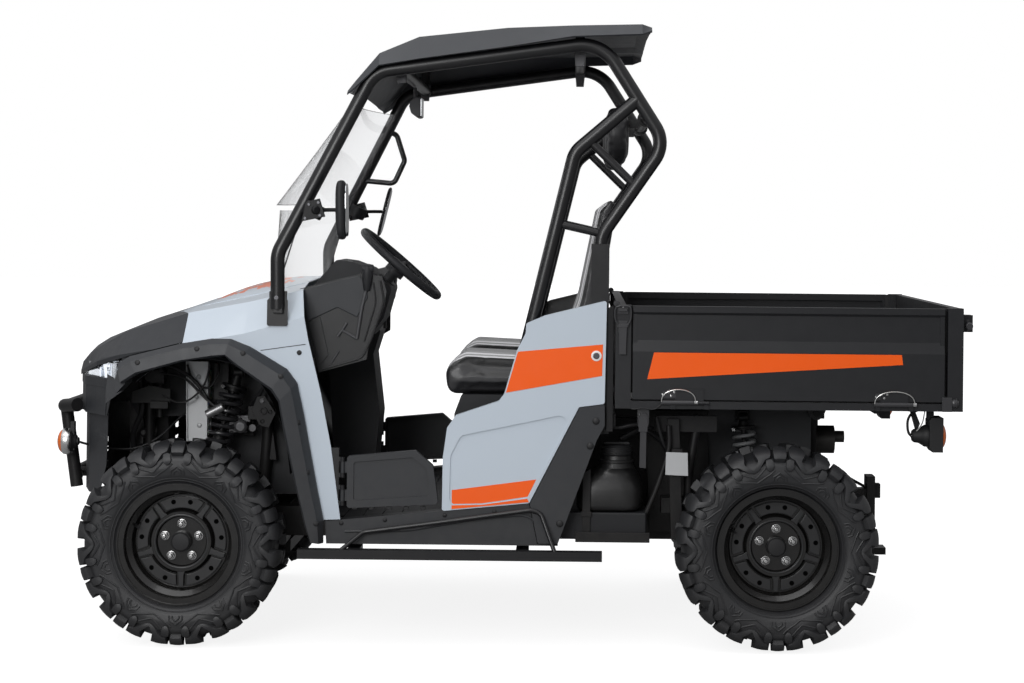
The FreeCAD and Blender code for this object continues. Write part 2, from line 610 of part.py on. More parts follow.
# roof stations: x, z of the side edge, the shoulder, the raised field's edge and the middle
ROOF = [(512, 1782, 1792, 1798, 1806), (484, 1800, 1822, 1832, 1846), (408, 1872, 1912, 1924, 1944),
        (280, 1894, 1966, 1984, 2000), (-6, 1936, 1998, 2016, 2030), (-219, 1972, 2008, 2026, 2040),
        (-440, 1981, 2014, 2032, 2046), (-472, 1994, 2006, 2012, 2020)]
ROOF_HALF_WIDTH = 690
ROOF_WALL = 7


def roof():
    """Moulded roof: turned-down sides, a raised middle field and a drooping front lip."""
    sections = []
    for i, (x, edge, shoulder, field, middle) in enumerate(ROOF):
        inset = 60 if i in (0, len(ROOF) - 1) else 0
        width = ROOF_HALF_WIDTH - inset * 0.5
        half = [(width, edge), (width - 26, shoulder), (500 - inset, shoulder + 2), (440 - inset, field), (0, middle)]
        sections.append([(-y, z) for y, z in half] + half[-2::-1])
    skin = shell_loft(sections, ROOF_WALL, lambda i, p: (ROOF[i][0], p[0], p[1]))
    return [skin]


def bowed_sheet(bottom, top, thickness):
    """Clear sheet between two bowed edges. Each edge is (z, x at the sides, x in the middle, half width)."""
    wires = []
    for z, side_x, middle_x, half in (bottom, top):
        def arc(shift):
            return Part.Arc(V(side_x - shift, -half, z), V(middle_x - shift, 0, z), V(side_x - shift, half, z))
        front, back = arc(0).toShape(), arc(thickness).toShape()
        ends = [Part.LineSegment(V(side_x, y, z), V(side_x - thickness, y, z)).toShape() for y in (-half, half)]
        wires.append(Part.Wire(Part.__sortEdges__([front, back] + ends)))
    return Part.makeLoft(wires, True, True)


def windshield():
    """Two clear panels between the front posts: the bowed upper one stands ahead of the lower one."""
    def edge(z, middle_x):
        # the front post's centre at this height, and its inner face
        low, high = CAGE_SIDE[1], CAGE_SIDE[2]
        share = max(0.0, (z - low[2]) / (high[2] - low[2]))
        post_x = low[0] + share * (high[0] - low[0])
        post_y = low[1] + share * (high[1] - low[1])
        return (z, post_x, middle_x, post_y - CAGE_TUBE / 2 - SCREEN_GAP)

    upper = bowed_sheet(edge(SCREEN_SPLIT_Z + 9, 814), edge(1772, 547), SCREEN)
    lower = bowed_sheet(edge(1162, 806), edge(SCREEN_SPLIT_Z - 9, 800), SCREEN)
    return [upper, lower]


# ---------------------------------------------------------------- body panels
# body stations: x, z in the middle, at the crown, the shoulder and the side edge, then y of each of the last three
BODY = [(1490, 846, 844, 838, 826, 110, 165, 195), (1460, 884, 880, 866, 838, 210, 285, 318),
        (1405, 934, 926, 906, 860, 290, 390, 438), (1347, 976, 962, 938, 884, 340, 462, 548),
        (1240, 1020, 1006, 1000, 927, 400, 540, 662), (1130, 1056, 1042, 1032, 949, 430, 572, 700),
        (1028, 1092, 1078, 1064, 968, 440, 592, BODY_Y), (830, 1132, 1122, 1102, 1004, 440, 606, BODY_Y),
        (660, 1172, 1164, 1142, 1052, 440, 612, BODY_Y), (505, 1192, 1184, 1162, 1100, 440, 615, BODY_Y)]
ARCH_OUTER = [(568, 336), (568, 409), (591, 519), (637, 760), (657, 848), (690, 892), (808, 962), (871, 987),
              (933, 987), (1028, 971), (1194, 928), (1230, 905)]
ARCH_INNER = [(606, 343), (623, 394), (657, 533), (696, 708), (711, 789), (735, 826), (845, 902), (883, 934),
              (925, 930), (1020, 915), (1164, 874), (1213, 842)]
SEAM_X = 1028                 # between the dark nose and the light cowl, at the sides
SEAM_PEAK_X = 1112            # and in the middle
SEAM_GAP = 0.4


def body_shell():
    """Nose, bonnet and front wings as one skin, before the seams are cut."""
    sections = []
    for x, middle, crown, shoulder, side, crown_y, shoulder_y, side_y in BODY:
        half = [(side_y, 380), (side_y, side), (shoulder_y, shoulder), (crown_y, crown), (0, middle)]
        sections.append([(-y, z) for y, z in half] + half[-2::-1])
    return shell_loft(sections, SKIN, lambda i, p: (BODY[i][0], p[0], p[1]))


def seam_prism(front):
    """Everything ahead of, or behind, the seam between nose and cowl."""
    shift = SEAM_GAP / 2 if front else -SEAM_GAP / 2
    far = 1600 if front else 400
    side_x, peak_x = SEAM_X + shift, SEAM_PEAK_X + shift
    points = [(side_x, 800), (side_x, 600), (peak_x, 300), (peak_x, -300), (side_x, -600), (side_x, -800),
              (far, -800), (far, 800)]
    return floor_plate(points, (300, 1400))


def largest(shape):
    return max(shape.Solids, key=lambda s: s.Volume)


def cowl_panel():
    """Light bonnet rear and both front side panels, as one moulding."""
    rear_edge = [(515, 411), (547, 642), (582, 818), (624, 987), (655, 1152), (655, 1300)]
    outline = [(1200, 1300), (1200, 929)] + ARCH_OUTER[1:-2][::-1] + rear_edge
    panel = largest(body_shell().common(side_plate(outline, (-800, 800))).common(seam_prism(False)))
    vents = [box((700, 712), (y, y + 70), (1000, 1300)) for y in range(-360, 340, 95)]
    return [panel.cut(Part.makeCompound(vents))]


def nose_panel():
    """Dark bonnet front with its peaked lip over the lamps."""
    outline = [(1000, 1300), (1000, 978), (1028, 974), (1194, 931), (1240, 914), (1347, 870), (1405, 846),
               (1460, 824), (1500, 812), (1500, 1300)]
    return [largest(body_shell().common(side_plate(outline, (-800, 800))).common(seam_prism(True)))]


# fascia in plan, outside face, left half: x, y
FASCIA_PLAN = [(1268, 622), (1306, 570), (1345, 510), (1395, 440), (1434, 310), (1456, 170)]
FASCIA_Z = (458, 724, 822)    # lower edge, waist between the two fields, upper edge
FASCIA_STEP = 14              # the lower field stands back by this much
FASCIA_WALL = 5
# lamp stations, along the fascia's plan: z of the lower and upper edges
LAMP_EDGES = [(822.2, 906), (822.2, 892), (822.2, 872), (822.2, 858), (822.2, 850)]
LAMP_DEPTH = 34


def fascia_wall(plan, z, thickness):
    outer = plan + [(x, -y) for x, y in plan[::-1]]
    inner = offset_path(outer, thickness)
    return floor_plate(outer + inner[::-1], z)


def front_fascia():
    """Wrap-round bumper moulding in two fields, with side cut-outs for the wheels and a slatted grille."""
    low, waist, high = FASCIA_Z
    upper = fascia_wall(FASCIA_PLAN, (waist, high), FASCIA_WALL)
    lower_plan = [(x, y) for x, y in offset_path(FASCIA_PLAN, FASCIA_STEP) if x > 1290]
    lower = fascia_wall(lower_plan, (low, waist), FASCIA_WALL)
    shelf_plan = lower_plan + [(x, -y) for x, y in lower_plan[::-1]]
    shelf_outer = [p for p in FASCIA_PLAN if p[0] > 1290]
    shelf_outer = shelf_outer + [(x, -y) for x, y in shelf_outer[::-1]]
    shelf = floor_plate(shelf_outer + offset_path(shelf_plan, FASCIA_WALL)[::-1], (waist, waist + FASCIA_WALL))
    cuts = [side_plate([(1200, 700), (1263, 822), (1290, 735), (1296, 700)], (-800, 800)),
            side_plate([(1200, 440), (1200, 730), (1292, 730), (1300, 560), (1340, 440)], (-800, 800))]
    for n in range(6):
        z = 500 + 34 * n
        cuts.append(box((1380, 1500), (-180, 180), (z, z + 20)))
    for side in (-1, 1):
        cuts.append(box((1380, 1500), sorted((side * 30, side * 180)), (756, 800)))
        for z in BUMPER_STUB_Z:
            cuts.append(rod((1360, side * BUMPER_STUB_Y, z), (1500, side * BUMPER_STUB_Y, z), BUMPER_STUB_RADIUS + 0.2))
    return [largest(joined([upper, lower, shelf]).cut(Part.makeCompound(cuts)))]


def headlights():
    """Wedge-shaped lamp units between the fascia and the nose's lip, tall at the wing and thin at the nose."""
    front = offset_path(FASCIA_PLAN[:5], 1)
    back = offset_path(FASCIA_PLAN[:5], 1 + LAMP_DEPTH)
    wires = []
    for (x, y), (bx, by), (low, high) in zip(front, back, LAMP_EDGES):
        corners = [V(x, y, low), V(x, y, high), V(bx, by, high), V(bx, by, low)]
        wires.append(Part.makePolygon(corners + corners[:1]))
    return pair(Part.makeLoft(wires, True, True))


def front_flares():
    """Wheel-arch mouldings: a sloping face with a turned-in lip on the wheel side."""
    # across the band: share of the width from the lip to the outer edge, y
    profile = [(0.0, BODY_Y - 14), (0.0, FLARE_Y - 8), (0.10, FLARE_Y), (0.72, FLARE_Y - 8), (1.0, BODY_Y + 14),
               (1.0, BODY_Y + 0.5)]
    sections, frames = [], []
    for (ox, oz), (ix, iz) in zip(ARCH_OUTER, ARCH_INNER):
        width = math.hypot(ox - ix, oz - iz)
        frames.append((ix, iz, (ox - ix) / width, (oz - iz) / width))
        sections.append([(share * width, y) for share, y in profile])

    def place(i, p):
        ix, iz, ux, uz = frames[i]
        return (ix + ux * p[0], p[1], iz + uz * p[0])

    return pair(shell_loft(sections, SKIN, place))


def splash_shields():
    """Liners behind the front wheels, and flat shields between the rear frame and the wheels."""
    path = [(p[0] - 1, p[1]) for p in ARCH_INNER[:6]]
    ring = path + offset_path(path, -3)[::-1]
    front = side_plate(ring, (FLOOR_HALF_WIDTH + GAP, BODY_Y - 14.2))
    low_x, high_x = REAR_AXLE_X - 144, REAR_AXLE_X + 240
    shock_x = REAR_SHOCK[1][0]
    rear = side_plate([(high_x, 480), (high_x - 40, 754), (shock_x + 25, 754), (shock_x + 25, 706), (shock_x - 26, 706),
                       (shock_x - 26, 754), (low_x, 754), (low_x, 520), (low_x + 74, 480)], (310.5, 314.5), 4)
    return pair(front) + pair(rear)


PANEL_OUTLINE = [(-76, 1046), (-136, 1072), (-334, 1122), (-330, 790), (-248, 779), (-91, 469), (189, 441),
                 (188, 611), (175, 709), (147, 749), (10, 796), (-7, 819), (-46, 957), (-74, 1014)]
PANEL_DEPTH = 30
PANEL_FIELD = [(166, 460), (163, 620), (130, 684), (0, 711), (-234, 762), (-84, 484), (60, 463)]
PANEL_STEP = 4


def rear_side_panels():
    """Light quarter panels beside the seats, with a pressed lower field."""
    panel = tray(PANEL_OUTLINE, BODY_Y, PANEL_DEPTH, SKIN, 8)
    low = BODY_Y - SKIN - PANEL_STEP
    edge = outline_face([(x, low, z) for x, z in PANEL_FIELD], 26).OuterWire
    backing = Part.Face(edge.makeOffset2D(SKIN, 0)).extrude(V(0, PANEL_STEP + SKIN / 2, 0))
    field = side_plate(PANEL_FIELD, (BODY_Y - PANEL_STEP, BODY_Y + 1), 26)
    return pair(panel.fuse(backing).cut(field).Solids[0])


def sill_panels():
    """Sills under the doors, and the dark corner mouldings behind them."""
    corner = [(-250, 777), (-330, 788), (-331, 720), (-306, 674), (-184, 340), (-120, 340), (-93, 467)]
    sill = [(513, 409), (189, 440.7), (-90, 468.6), (-118, 337), (-180, 336), (-184, 332), (560, 332), (565, 405)]
    return pair(tray(corner, BODY_Y + 4, 30, SKIN, 4)) + pair(tray(sill, BODY_Y - 5, 60, SKIN))


def step_bars():
    """Side steps: a long square bar and the bowed tube over it, on two brackets."""
    y = (728, 768)
    bar = box((-326, 645), y, (292, 322))
    hoop = tube([(512, 748, 315), (440, 716, 372), (258, 716, 397), (-95, 716, 448), (-128, 716, 440),
                 (-176, 748, 315)], 14, 30)
    arms = [box((x - 20, x + 20), (612, 735), (305, 320)) for x in OUTRIGGER_X]
    posts = [box((x - 20, x + 20), (612, 634), (305, FLOOR_Z - OUTRIGGER_DEPTH - 0.2)) for x in OUTRIGGER_X]
    return pair(joined([bar, hoop] + arms + posts))


def floor_pan():
    """Floor, toe board and firewall in one sheet, with raised ribs."""
    path = [(120, FLOOR_Z), (600, FLOOR_Z), (622, 600), (715, 800), (715, 905)]
    ring = path + offset_path(path, -SHEET)[::-1]
    sheet = side_plate(ring, (-FLOOR_HALF_WIDTH, FLOOR_HALF_WIDTH))
    ribs = [box((x - 6, x + 6), (-600, 600), (FLOOR_Z + SHEET, FLOOR_Z + SHEET + 4)) for x in range(220, 560, 60)]
    return [joined([sheet] + ribs)]


DASH_HALF_WIDTH = 608
LEVER_Y = 562


def dashboard():
    """Dashboard with the driver's binnacle, centre stack, glove pockets, cup wells and the gear lever's slot."""
    body = side_plate([(688, 1108), (652, 1122), (646, 1150), (560, 1172), (470, 1200), (444, 1168), (452, 1080),
                       (500, 1000), (596, 925), (688, 905)], (-DASH_HALF_WIDTH, DASH_HALF_WIDTH), 10)
    wheel_y = STEERING_WHEEL_CENTRE[1]
    binnacle = side_plate([(640, 1150), (560, 1240), (512, 1234), (450, 1211), (376, 1147), (402, 1050),
                           (446, 985), (520, 985)], (wheel_y - 130, wheel_y + 120), 14)
    stack = side_plate([(632, 1000), (500, 1090), (446, 985), (470, 905), (446, 700), (472, FLOOR_Z + 9.2),
                        (588, FLOOR_Z + 9.2), (608, 600)], (-105, 105), 10)
    pockets = [box((420, 600), y, (1062, 1132)) for y in ((-560, -330), (-290, -140))]
    wells = [Part.makeCylinder(42, 70, V(566, y, 1112), V(0, 0, 1)) for y in (-50, 55)]
    slot = box((380, 552), (LEVER_Y - 34, LEVER_Y + 26), (950, 1300))
    low, high = V(*STEERING_WHEEL_CENTRE), V(*COLUMN_DIRECTION).normalize()
    bore = rod(low + high * 40, low + high * 200, COLUMN_RADIUS + RUNNING_GAP)
    vents = [rod((400, y, 1150), (480, y, 1150), 34) for y in (-470, 60)]
    solid = joined([body, binnacle, stack]).cut(Part.makeCompound(pockets + wells + [slot, bore] + vents))
    return [largest(solid)]


def controls():
    """Gear lever, hand brake and the two pedals."""
    foot, top = V(506, LEVER_Y, 985), V(449, LEVER_Y, 1150)
    gear = joined([rod(foot, top, 5), rod(foot, (547, LEVER_Y, 1010), 7), rod((foot.x, LEVER_Y - 33.5, 985),
                   (foot.x, LEVER_Y + 8, 985), 8), Part.makeCone(11, 21, 66, top, V(-0.06, 0, 1)),
                   Part.makeSphere(21, top + V(-4, 0, 66))])
    pedals = []
    for y, width in ((300, 70), (430, 46)):
        pad = box((545, 557), (y - width / 2, y + width / 2), (520, 590))
        arm = tube([(555, y, 560), (600, y, 700), (640, y, 800), (640, y, 913.6)], 14, 60)
        pedals.append(joined([pad, arm]))
    return [gear] + pedals


# ---------------------------------------------------------------- seats
SEAT_Y = (105, 600)
SEAT_BASE_Y = CAGE_TOP_Y - 30 - 5      # clear of the cage's rear sleeves
SEAT_BASE_TOP = 808
SEAT_SKIN = 5


def seat_base():
    """Seat box over the engine bay, open at the back and underneath."""
    front = [(146, FLOOR_Z + SHEET), (158, 745), (135, SEAT_BASE_TOP)]
    outer = side_plate(front + [(-250, SEAT_BASE_TOP), (-250, FLOOR_Z + SHEET)], (-SEAT_BASE_Y, SEAT_BASE_Y), 10)
    inner = side_plate([(x - SEAT_SKIN, z - SEAT_SKIN) for x, z in front] + [(-400, SEAT_BASE_TOP - SEAT_SKIN),
                       (-400, 300), (141, 300)], (SEAT_SKIN - SEAT_BASE_Y, SEAT_BASE_Y - SEAT_SKIN))
    latch = box((140, 166), (-60, 60), (690, 716))
    return [largest(outer.cut(inner).fuse(latch).removeSplitter())]


def seat_cushions():
    """Two padded cushions, resting on the seat box."""
    low = SEAT_BASE_TOP + 0.2
    outline = [(172, low), (192, 850), (178, 900), (110, 940), (-215, 928), (-225, low)]
    return pair(side_plate(outline, SEAT_Y, 16))


def seat_backs():
    """Two padded backrests, leaning on the lower crossbar."""
    bar_x, bar_z, size, tube_y = CROSSBARS[3]
    rear_x = bar_x + size / 2 + 0.3
    outline = [(-188, 942), (-250, 1114), (-314, 1430), (-338, 1472), (rear_x - 4, 1466), (rear_x, bar_z + 12),
               (rear_x, bar_z - 12), (-312, 1114), (-262, 942)]
    return pair(side_plate(outline, SEAT_Y, 10))


def headrests():
    """Padded head restraints on stalks from the upper crossbar."""
    return pair(side_plate([(-330, 1560), (-322, 1600), (-325, 1745), (-345, 1768), (-392, 1768), (-409, 1745),
                            (-409, 1600), (-395, 1556)], (230, 500), 14))


def headrest_bracket():
    """Clamp and stalk between the upper crossbar and a head restraint."""
    x, z, size, tube_y = CROSSBARS[2]
    bore = rod((x, 300, z), (x, 420, z), size / 2 + RUNNING_GAP)
    clamp = rod((x, 343, z), (x, 387, z), size / 2 + 9)
    stalk = box((x + size / 2 + 3, -409.2), (353, 377), (z - 34, z - 2))
    return joined([clamp, stalk]).cut(bore)


# ---------------------------------------------------------------- doors
DOOR_HINGE = (509, 704)       # x, y of the left door's hinge axis
DOOR_OUTLINE = [(495, 447), (495, 614), (275, 634), (219, 586), (203, 474), (206, 462)]


def door():
    """Half door: a hollow moulding with a framed field, on two hinge knuckles."""
    field = side_plate([(474, 471), (474, 595), (285, 612), (240, 577), (228, 489)], (BODY_Y - 7, BODY_Y), 8)
    panel = tray(DOOR_OUTLINE, BODY_Y - 2, 28, 8, 10).cut(field)
    knuckles = [joined([rod((DOOR_HINGE[0], DOOR_HINGE[1], z), (DOOR_HINGE[0], DOOR_HINGE[1], z + 36), 7),
                        box((486, DOOR_HINGE[0]), (BODY_Y - 9, BODY_Y - 3), (z, z + 36))]) for z in (470, 560)]
    return joined([panel] + knuckles)


def door_left():
    return [door()]


def door_right():
    return [mirrored(door())]


def door_posts():
    """Hinge posts that carry the doors, on the sills."""
    x, y = DOOR_HINGE
    lugs = [joined([rod((x, y, z), (x, y, z + 14), 7), box((x, 540), (y - 15, y - 4), (z, z + 14))])
            for z in (470 - 14 - FACE_GAP, 470 + 36 + FACE_GAP, 560 - 14 - FACE_GAP, 560 + 36 + FACE_GAP)]
    post = side_plate([(522, 408.5), (545, 406.8), (545, 640), (522, 640)], (BODY_Y - 30, BODY_Y - SKIN - 0.2))
    return pair(joined([post] + lugs))


# ---------------------------------------------------------------- load bed
SIDE_HINGE = (BED_HALF_WIDTH + 6, BED_FLOOR_Z - 10)     # y, z of the left drop side's hinge axis
TAIL_HINGE = (BED_REAR_X - 11, BED_FLOOR_Z - 6)         # x, z of the tailgate's hinge axis
TAIL_HINGES_Y = (-480, 480)
FLOOR_REAR_X = BED_REAR_X + 6
SIDE_X = (BED_REAR_X + BED_POST_LENGTH + GAP + 4, BED_FRONT_X - BED_POST_LENGTH - GAP)
SIDE_HINGES_X = (BED_FRONT_X - 240, BED_REAR_X + 221)


def knuckle_lugs(middle, half, fixed):
    """Low and high ends of the fixed knuckles each side of a moving one."""
    return [(middle - half - fixed, middle - half - KNUCKLE_GAP), (middle + half + KNUCKLE_GAP, middle + half + fixed)]


def bed_tub():
    """Load floor with its under-frame, headboard, four corner posts and the fixed halves of every hinge."""
    floor = box((FLOOR_REAR_X, BED_FRONT_X), (-BED_HALF_WIDTH + 34, BED_HALF_WIDTH - 34),
                (BED_FLOOR_Z - 3, BED_FLOOR_Z))
    pieces = [floor]
    post_y = BED_HALF_WIDTH - 40
    rail_z = (BED_FLOOR_Z - 30, BED_FLOOR_Z - 3)
    for side in (-1, 1):
        y = sorted((side * post_y, side * BED_HALF_WIDTH))
        for x in (BED_REAR_X, BED_FRONT_X - BED_POST_LENGTH):
            pieces.append(box((x, x + BED_POST_LENGTH), y, (BED_FLOOR_Z - 30, BED_TOP_Z)))
        pieces.append(box((FLOOR_REAR_X, BED_FRONT_X), sorted((side * 620, side * 664)), rail_z))
        pieces.append(box((BED_REAR_X, BED_FRONT_X), sorted((side * 650, side * (BED_HALF_WIDTH - 2))),
                          (BED_FLOOR_Z - 30, BED_FLOOR_Z - GAP)))
        bearer_y = sorted((side * 330, side * 370))
        pieces.append(box((BED_REAR_X + 181, BED_FRONT_X - 20), bearer_y, (BED_FLOOR_Z - 45, BED_FLOOR_Z - 3)))
        lug_y = sorted((side * 328, side * 342))
        lug_shape = [(-40, 30), (-22, -10), (-8, -22), (8, -22), (22, -10), (40, 30)]
        lug = side_plate([(BED_PIVOT[0] + x, BED_PIVOT[1] + z) for x, z in lug_shape], lug_y, 8)
        pieces.append(lug)
        for x in SIDE_HINGES_X:
            for ends in knuckle_lugs(x, 45, 16):
                hinge_y, hinge_z = side * SIDE_HINGE[0], SIDE_HINGE[1]
                pieces.append(rod((ends[0], hinge_y, hinge_z), (ends[1], hinge_y, hinge_z), 6))
                pieces.append(box(ends, sorted((side * 660, hinge_y)), (rail_z[0], hinge_z)))
    for x in (FLOOR_REAR_X, -1180, -700, BED_FRONT_X - 40):
        pieces.append(box((x, x + 40), (-640, 640), rail_z))
    for y in TAIL_HINGES_Y:
        for ends in knuckle_lugs(y, 40, 16):
            pieces.append(rod((TAIL_HINGE[0], ends[0], TAIL_HINGE[1]), (TAIL_HINGE[0], ends[1], TAIL_HINGE[1]), 7))
            pieces.append(box((TAIL_HINGE[0], FLOOR_REAR_X + 5), ends, (rail_z[0], TAIL_HINGE[1])))
    pieces.append(box((BED_FRONT_X - 34, BED_FRONT_X - 6), (-post_y, post_y), (BED_FLOOR_Z - 3, BED_TOP_Z)))
    pivot = rod((BED_PIVOT[0], -400, BED_PIVOT[1]), (BED_PIVOT[0], 400, BED_PIVOT[1]), PIVOT_PIN + RUNNING_GAP)
    return [joined(pieces).cut(pivot)]


def drop_side():
    """Folded sheet side with a top roll, a pressed step and two hinge leaves."""
    y1 = BED_HALF_WIDTH
    low, high = BED_FLOOR_Z, BED_TOP_Z - 2
    section = [(y1, low), (y1, 960), (y1 - 8, 996), (y1 - 8, 1078), (y1, 1086), (y1, high), (y1 - BED_PANEL, high),
               (y1 - BED_PANEL, high - 24), (y1 - 14, high - 24), (y1 - 14, low + 26), (y1 - BED_PANEL, low + 26),
               (y1 - BED_PANEL, low)]
    panel = cross_plate(section, SIDE_X)
    ends = [box((x, x + 14), (y1 - BED_PANEL, y1 - 6), (low, high)) for x in (SIDE_X[0], SIDE_X[1] - 14)]
    leaves = [joined([rod((x - 45, *SIDE_HINGE), (x + 45, *SIDE_HINGE), 6),
                      box((x - 45, x + 45), (y1 - 1, y1 + 5), (SIDE_HINGE[1], SIDE_HINGE[1] + 44))])
              for x in SIDE_HINGES_X]
    return joined([panel] + ends + leaves)


def bed_side_left():
    return [drop_side()]


def bed_side_right():
    return [mirrored(drop_side())]


def tailgate():
    """Rear gate between the corner posts, with a latch at each end."""
    half = BED_HALF_WIDTH - 40 - GAP
    x0 = BED_REAR_X - 4
    panel = box((x0, x0 + BED_PANEL), (-half, half), (BED_FLOOR_Z + GAP, BED_TOP_Z - 2))
    fields = [box((x0 - 1, x0 + 8), (-half + 60, half - 60), z) for z in ((840, 925), (965, 1070))]
    hinges = [joined([rod((TAIL_HINGE[0], y - 40, TAIL_HINGE[1]), (TAIL_HINGE[0], y + 40, TAIL_HINGE[1]), 7),
                      box((TAIL_HINGE[0] - 1, x0 + 1), (y - 40, y + 40), (TAIL_HINGE[1], TAIL_HINGE[1] + 44))])
              for y in TAIL_HINGES_Y]
    latches = [box((BED_REAR_X - 38, x0 + 1), sorted((s * (half - 60), s * (half - 5))), (1030, 1085)) for s in (-1, 1)]
    return [joined([panel.cut(Part.makeCompound(fields))] + hinges + latches)]


def tail_lamps():
    """Lamp boxes hung under the rear corners of the bed."""
    x = BED_REAR_X + 49
    body = joined([box((x, x + 47), (560, 660), (640, BED_FLOOR_Z - 30)), rod((x + 47, 610, 700), (x + 107, 610, 700), 30)])
    lens = rod((x, 610, 690), (x - 12, 610, 690), 40)
    return pair(joined([body, lens]))


# ---------------------------------------------------------------- fittings
BUMPER_STUB_Y, BUMPER_STUB_Z, BUMPER_STUB_RADIUS = 215, (728, 500), 16


def front_bumper():
    """Tubular bull bar on two legs, with stubs to the front frame."""
    nose = HALF_LENGTH - 22.5
    low_z = BUMPER_STUB_Z[1]
    pieces = [tube([(1420, 450, 748), (1478, 385, 740), (nose, 250, 728), (nose, -250, 728), (1478, -385, 740),
                    (1420, -450, 748)], 45, 60),
              tube([(1446, -330, low_z), (1474, -235, low_z), (1474, 235, low_z), (1446, 330, low_z)], 40, 60)]
    for side in (-1, 1):
        y = side * 330
        pieces.append(tube([(1484, y, 735), (1446, y, 464)], 42))
        for z, x in zip(BUMPER_STUB_Z, (1488, 1470)):
            pieces.append(rod((1342, side * BUMPER_STUB_Y, z), (x, side * BUMPER_STUB_Y, z), BUMPER_STUB_RADIUS))
    return [joined(pieces)]


def marker_lamps():
    """Round amber lamps on the bull bar's legs."""
    lamp = joined([rod((1438, 402, 622), (1478, 402, 622), 24), rod((1478, 402, 622), (1496, 402, 622), 44),
                   box((1452, 1478), (351.2, 402), (608, 634))])
    return pair(lamp)


def mirrors():
    """Door mirrors on clamps, and the cabin mirror under the front crossbar."""
    post = rod(CAGE_SIDE[1], CAGE_SIDE[2], CAGE_TUBE / 2 + RUNNING_GAP)
    clamp = side_plate([(634, 1430), (586, 1442), (566, 1380), (648, 1362)], (682, 712), 4).cut(post)
    arm = rod((590, 705, 1400), (508, 742, 1402), 7)
    glass = side_plate([(526, 1495), (496, 1498), (494, 1310), (520, 1308)], (700, 830), 8)
    outside = largest(joined([clamp, arm, glass]))
    inside = joined([box((318, 330), (-60, 60), (1760, 1815)), rod((324, 0, 1800), (341.6, 0, 1843), 8)])
    return pair(outside) + [inside]


def fuel_tank():
    """Moulded tank with filler neck, cap and strap, behind the left seat."""
    body = side_plate([(-255, 372), (-460, 372), (-470, 430), (-440, 560), (-400, 600), (-300, 600), (-255, 540)],
                      (330, 640), 22)
    neck = Part.makeCylinder(55, 30, V(-370, 560, 596), V(0, 0, 1))
    cap = Part.makeCylinder(47, 34, V(-370, 560, 626), V(0, 0, 1))
    shelf = box((-480, -255), (300, 640), (340, 372))
    return [joined([body, neck, cap, shelf])]


def engine():
    """Engine and gearbox as one block."""
    return [side_plate([(-240, 400), (-240, 700), (REAR_AXLE_X + 330, 700), (REAR_AXLE_X + 190, 560),
                        (REAR_AXLE_X + 190, 400)], (-200, 200), 20)]


def radiator():
    """Radiator core with a fan shroud, between the front uprights."""
    core = box((1240, 1285), (-250, 250), (420, 832))
    shroud = rod((1205, 0, 610), (1240, 0, 610), 165)
    return [joined([core, shroud])]


def coolant_bottle():
    """Pale expansion bottle inside the left front wheel arch."""
    outline = [(1000, 640), (1052, 628), (1052, 800), (1040, 872), (1004, 872), (1000, 850)]
    return [joined([side_plate(outline, (291, 351), 8),
                    Part.makeCylinder(16, 18, V(1022, 321, 870), V(0, 0, 1)),
                    box((1008, 1040), (270, 295), (842, 864))])]


def silencer():
    """Exhaust silencer beside the right rear frame rail."""
    x, y, z = REAR_AXLE_X - 170, 150, 630
    return [joined([rod((x + 358, y, z), (x - 70, y, z), 48), rod((x - 70, y, z + 10), (x - 105, y, z + 10), 20),
                    box((x - 14, x + 14), (y - 12, y + 12), (z + 40, 714.8))])]


def hitch():
    """Drawbar hitch: cross plate, upright, jaw and its drop pin with a handle."""
    x = REAR_AXLE_X - 290
    bar = box((x - 82, x), (-30, 30), (395, 445))
    plate = box((x - 110, x - 82), (-45, 45), (216, 490))
    jaw = box((x - 150, x - 110), (-40, 40), (216, 240))
    foot = box((x - 12, x), (-45, 45), (232, 445))
    return [joined([bar, plate, jaw, foot])]


PARTS = {
    "main_frame": main_frame, "front_frame": front_frame, "rear_frame": rear_frame,
    "roll_cage_left": roll_cage_left, "roll_cage_right": roll_cage_right, "cage_crossbars": cage_crossbars,
    "roof": roof, "windshield": windshield, "cowl_panel": cowl_panel, "nose_panel": nose_panel,
    "front_fascia": front_fascia, "headlights": headlights, "front_flares": front_flares,
    "splash_shields": splash_shields, "rear_side_panels": rear_side_panels, "sill_panels": sill_panels,
    "step_bars": step_bars, "floor_pan": floor_pan, "dashboard": dashboard,
    "controls": controls, "seat_base": seat_base, "seat_cushions": seat_cushions, "seat_backs": seat_backs,
    "headrests": headrests, "door_left": door_left,
    "door_right": door_right, "door_posts": door_posts, "bed_tub": bed_tub, "bed_side_left": bed_side_left,
    "bed_side_right": bed_side_right, "tailgate": tailgate, "tail_lamps": tail_lamps,
    "front_bumper": front_bumper, "marker_lamps": marker_lamps, "mirrors": mirrors, "fuel_tank": fuel_tank,
    "engine": engine, "radiator": radiator, "coolant_bottle": coolant_bottle, "silencer": silencer,
    "hitch": hitch, "wishbones": wishbones, "rear_hub_carriers": rear_hub_carriers, "shocks": shocks,
    "driveline": driveline, "rack_housing": rack_housing,
    "tie_rods": tie_rods, "steering_wheel": steering_wheel, "steering_column": steering_column,
}


def main():
    os.makedirs("parts", exist_ok=True)
    made = {name: make() for name, make in PARTS.items()}
    made.update(wheel_parts())
    made["knuckle_left"] = knuckle_left()
    made["knuckle_right"] = [mirrored(knuckle_left()[0])]
    for name, solids in made.items():
        if not solids:
            continue
        whole = Part.makeCompound([s for shape in solids for s in shape.Solids])
        whole.exportStep(f"parts/{name}.step")
        faults = [s.isValid() for s in whole.Solids]
        print(name, len(whole.Solids), "solids", "" if all(faults) else "INVALID")


main()
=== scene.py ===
# %% [markdown]
# This lesson dresses a side by side utility vehicle. The engineering model gives every part's
# place, its joints and its plain shape. We load it first, because every new piece is measured from
# it. The x axis points ahead, y to the left and z up.

